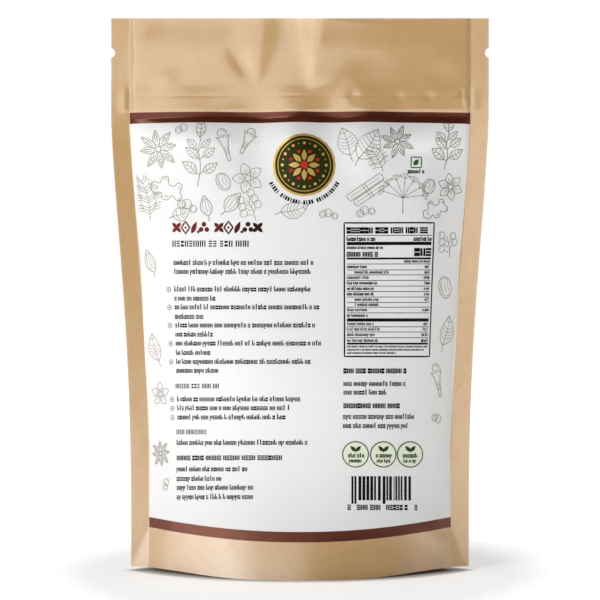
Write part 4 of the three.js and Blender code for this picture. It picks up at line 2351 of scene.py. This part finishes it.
@dataclass(frozen=True)
class Studio:
    """The floor, the lights, the surroundings and the camera, in metres."""

    floor_half: float = 4.0
    # The floor's painted glow: weakest beside the pouch, stronger further out, and the distances where it
    # grows.
    glows: Triple = (0.5, 0.9, 1.0)
    glow_rings: Triple = (0.083, 0.125, 0.7)
    # The oval round the foot where the glow is cut to 0, a painted contact shadow.
    foot_half: Point = (0.0678, 0.0256)
    foot_bow: float = 2.3
    foot_shade: Point = (0.98, 1.16)
    surround: float = 0.06
    camera_distance: float = 0.640
    camera_height: float = 0.1089
    lens: float = 95.2
    lights: tuple[Softbox, ...] = (
        Softbox("key_softbox", 22, 1.02, 0.36, 0.9, 0.46, 1.34),
        Softbox("side_softbox", 60, 1.04, 0.22, 1.0, 0.48, 0.78),
        Softbox("low_softbox", 46, 0.3, 0.035, 0.25, 0.07, 2.15, aim=0.0),
        Softbox("top_softbox", 46, 0.8, 0.88, 0.5, 0.4, 4.6),
        Softbox("fill_softbox", -80, 0.9, 0.6, 0.5, 0.5, 0.6),
        Softbox("back_softbox", 205, 0.9, 0.9, 1.0, 0.8, 0.9),
    )

    def build(self) -> None:
        """Sets up everything round the pouch."""
        self._floor()
        self._world()
        for light in self.lights:
            light.build()
        self._camera()
        settings = bpy.context.scene.view_settings
        settings.view_transform, settings.look = "Standard", "None"

    def _floor(self) -> None:
        """Lays a pale matt floor that glows: painted light, which also lights the pouch from below."""
        mesh = bmesh.new()
        bmesh.ops.create_grid(mesh, x_segments=8, y_segments=8, size=self.floor_half)
        floor = in_scene("studio_floor", loose_mesh("studio_floor", mesh))
        made, graph = new_material("glowing_matt_floor")
        surface = {
            "Base Color": linear("eeeeee"),
            "Roughness": 0.7,
            "Specular IOR Level": 0.2,
            "Emission Color": (1, 1, 1, 1),
            "Emission Strength": self._glow(graph),
        }
        graph.surface(surface)
        floor.data.materials.append(made)

    def _glow(self, graph: Graph) -> Socket:
        """The floor's own glow, painted light: it grows with the distance from the pouch, leaving painted
        shade beside it, and is 0 under its foot as a painted contact shadow.

        Args:
            graph: The floor's shader nodes.

        Returns:
            The strength.
        """
        place = graph.place()
        away = graph.vector("LENGTH", place, "Value")
        (beside, near, far), (first, second, last) = self.glows, self.glow_rings
        near_glow = graph.level(away, first, second, beside, near)
        glow = graph.math("ADD", near_glow, graph.level(away, second, last, 0.0, far - near))
        # Painted contact shadow: the glow falls to 0 inside an oval round the foot.
        parts = graph.add("SeparateXYZ", {"Vector": graph.vector("ABSOLUTE", place, "Vector")}).outputs
        across = graph.math("POWER", graph.math("DIVIDE", parts["X"], self.foot_half[0]), self.foot_bow)
        off_foot = graph.math("ADD", across, graph.math("DIVIDE", parts["Y"], self.foot_half[1]))
        return graph.product(glow, graph.level(off_foot, *self.foot_shade, 0.0, 1.0))

    def _world(self) -> None:
        """Lights the pouch evenly from all round, and shows plain white behind it."""
        world = bpy.data.worlds.new("studio")
        world.use_nodes = True
        graph = Graph(world.node_tree)
        strength = graph.level(graph.add("LightPath").outputs["Is Camera Ray"], 0.0, 1.0, self.surround, 1.0)
        sky = graph.add("Background", {"Color": (1, 1, 1, 1), "Strength": strength})
        graph.add("OutputWorld", {"Surface": sky.outputs["Background"]})
        bpy.context.scene.world = world

    def _camera(self) -> None:
        """Sets the level camera in front of the pouch."""
        data = bpy.data.cameras.new("camera")
        data.lens, data.sensor_width = self.lens, 36.0
        data.clip_start, data.clip_end = 0.01, 50.0
        camera = in_scene("camera", data)
        camera.location = (0, -self.camera_distance, self.camera_height)
        camera.rotation_euler = (math.radians(90), 0, 0)
        bpy.context.scene.camera = camera


def main() -> None:
    """Builds the pouch, its print and the studio."""
    logging.basicConfig(level=logging.INFO, format="%(message)s")
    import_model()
    form, finishes = FilmForm(), Finishes()
    FilmShell(form).build(finishes)
    for label in labels():
        label.build(form, finishes)
    Studio().build()


if __name__ == "__main__":
    main()
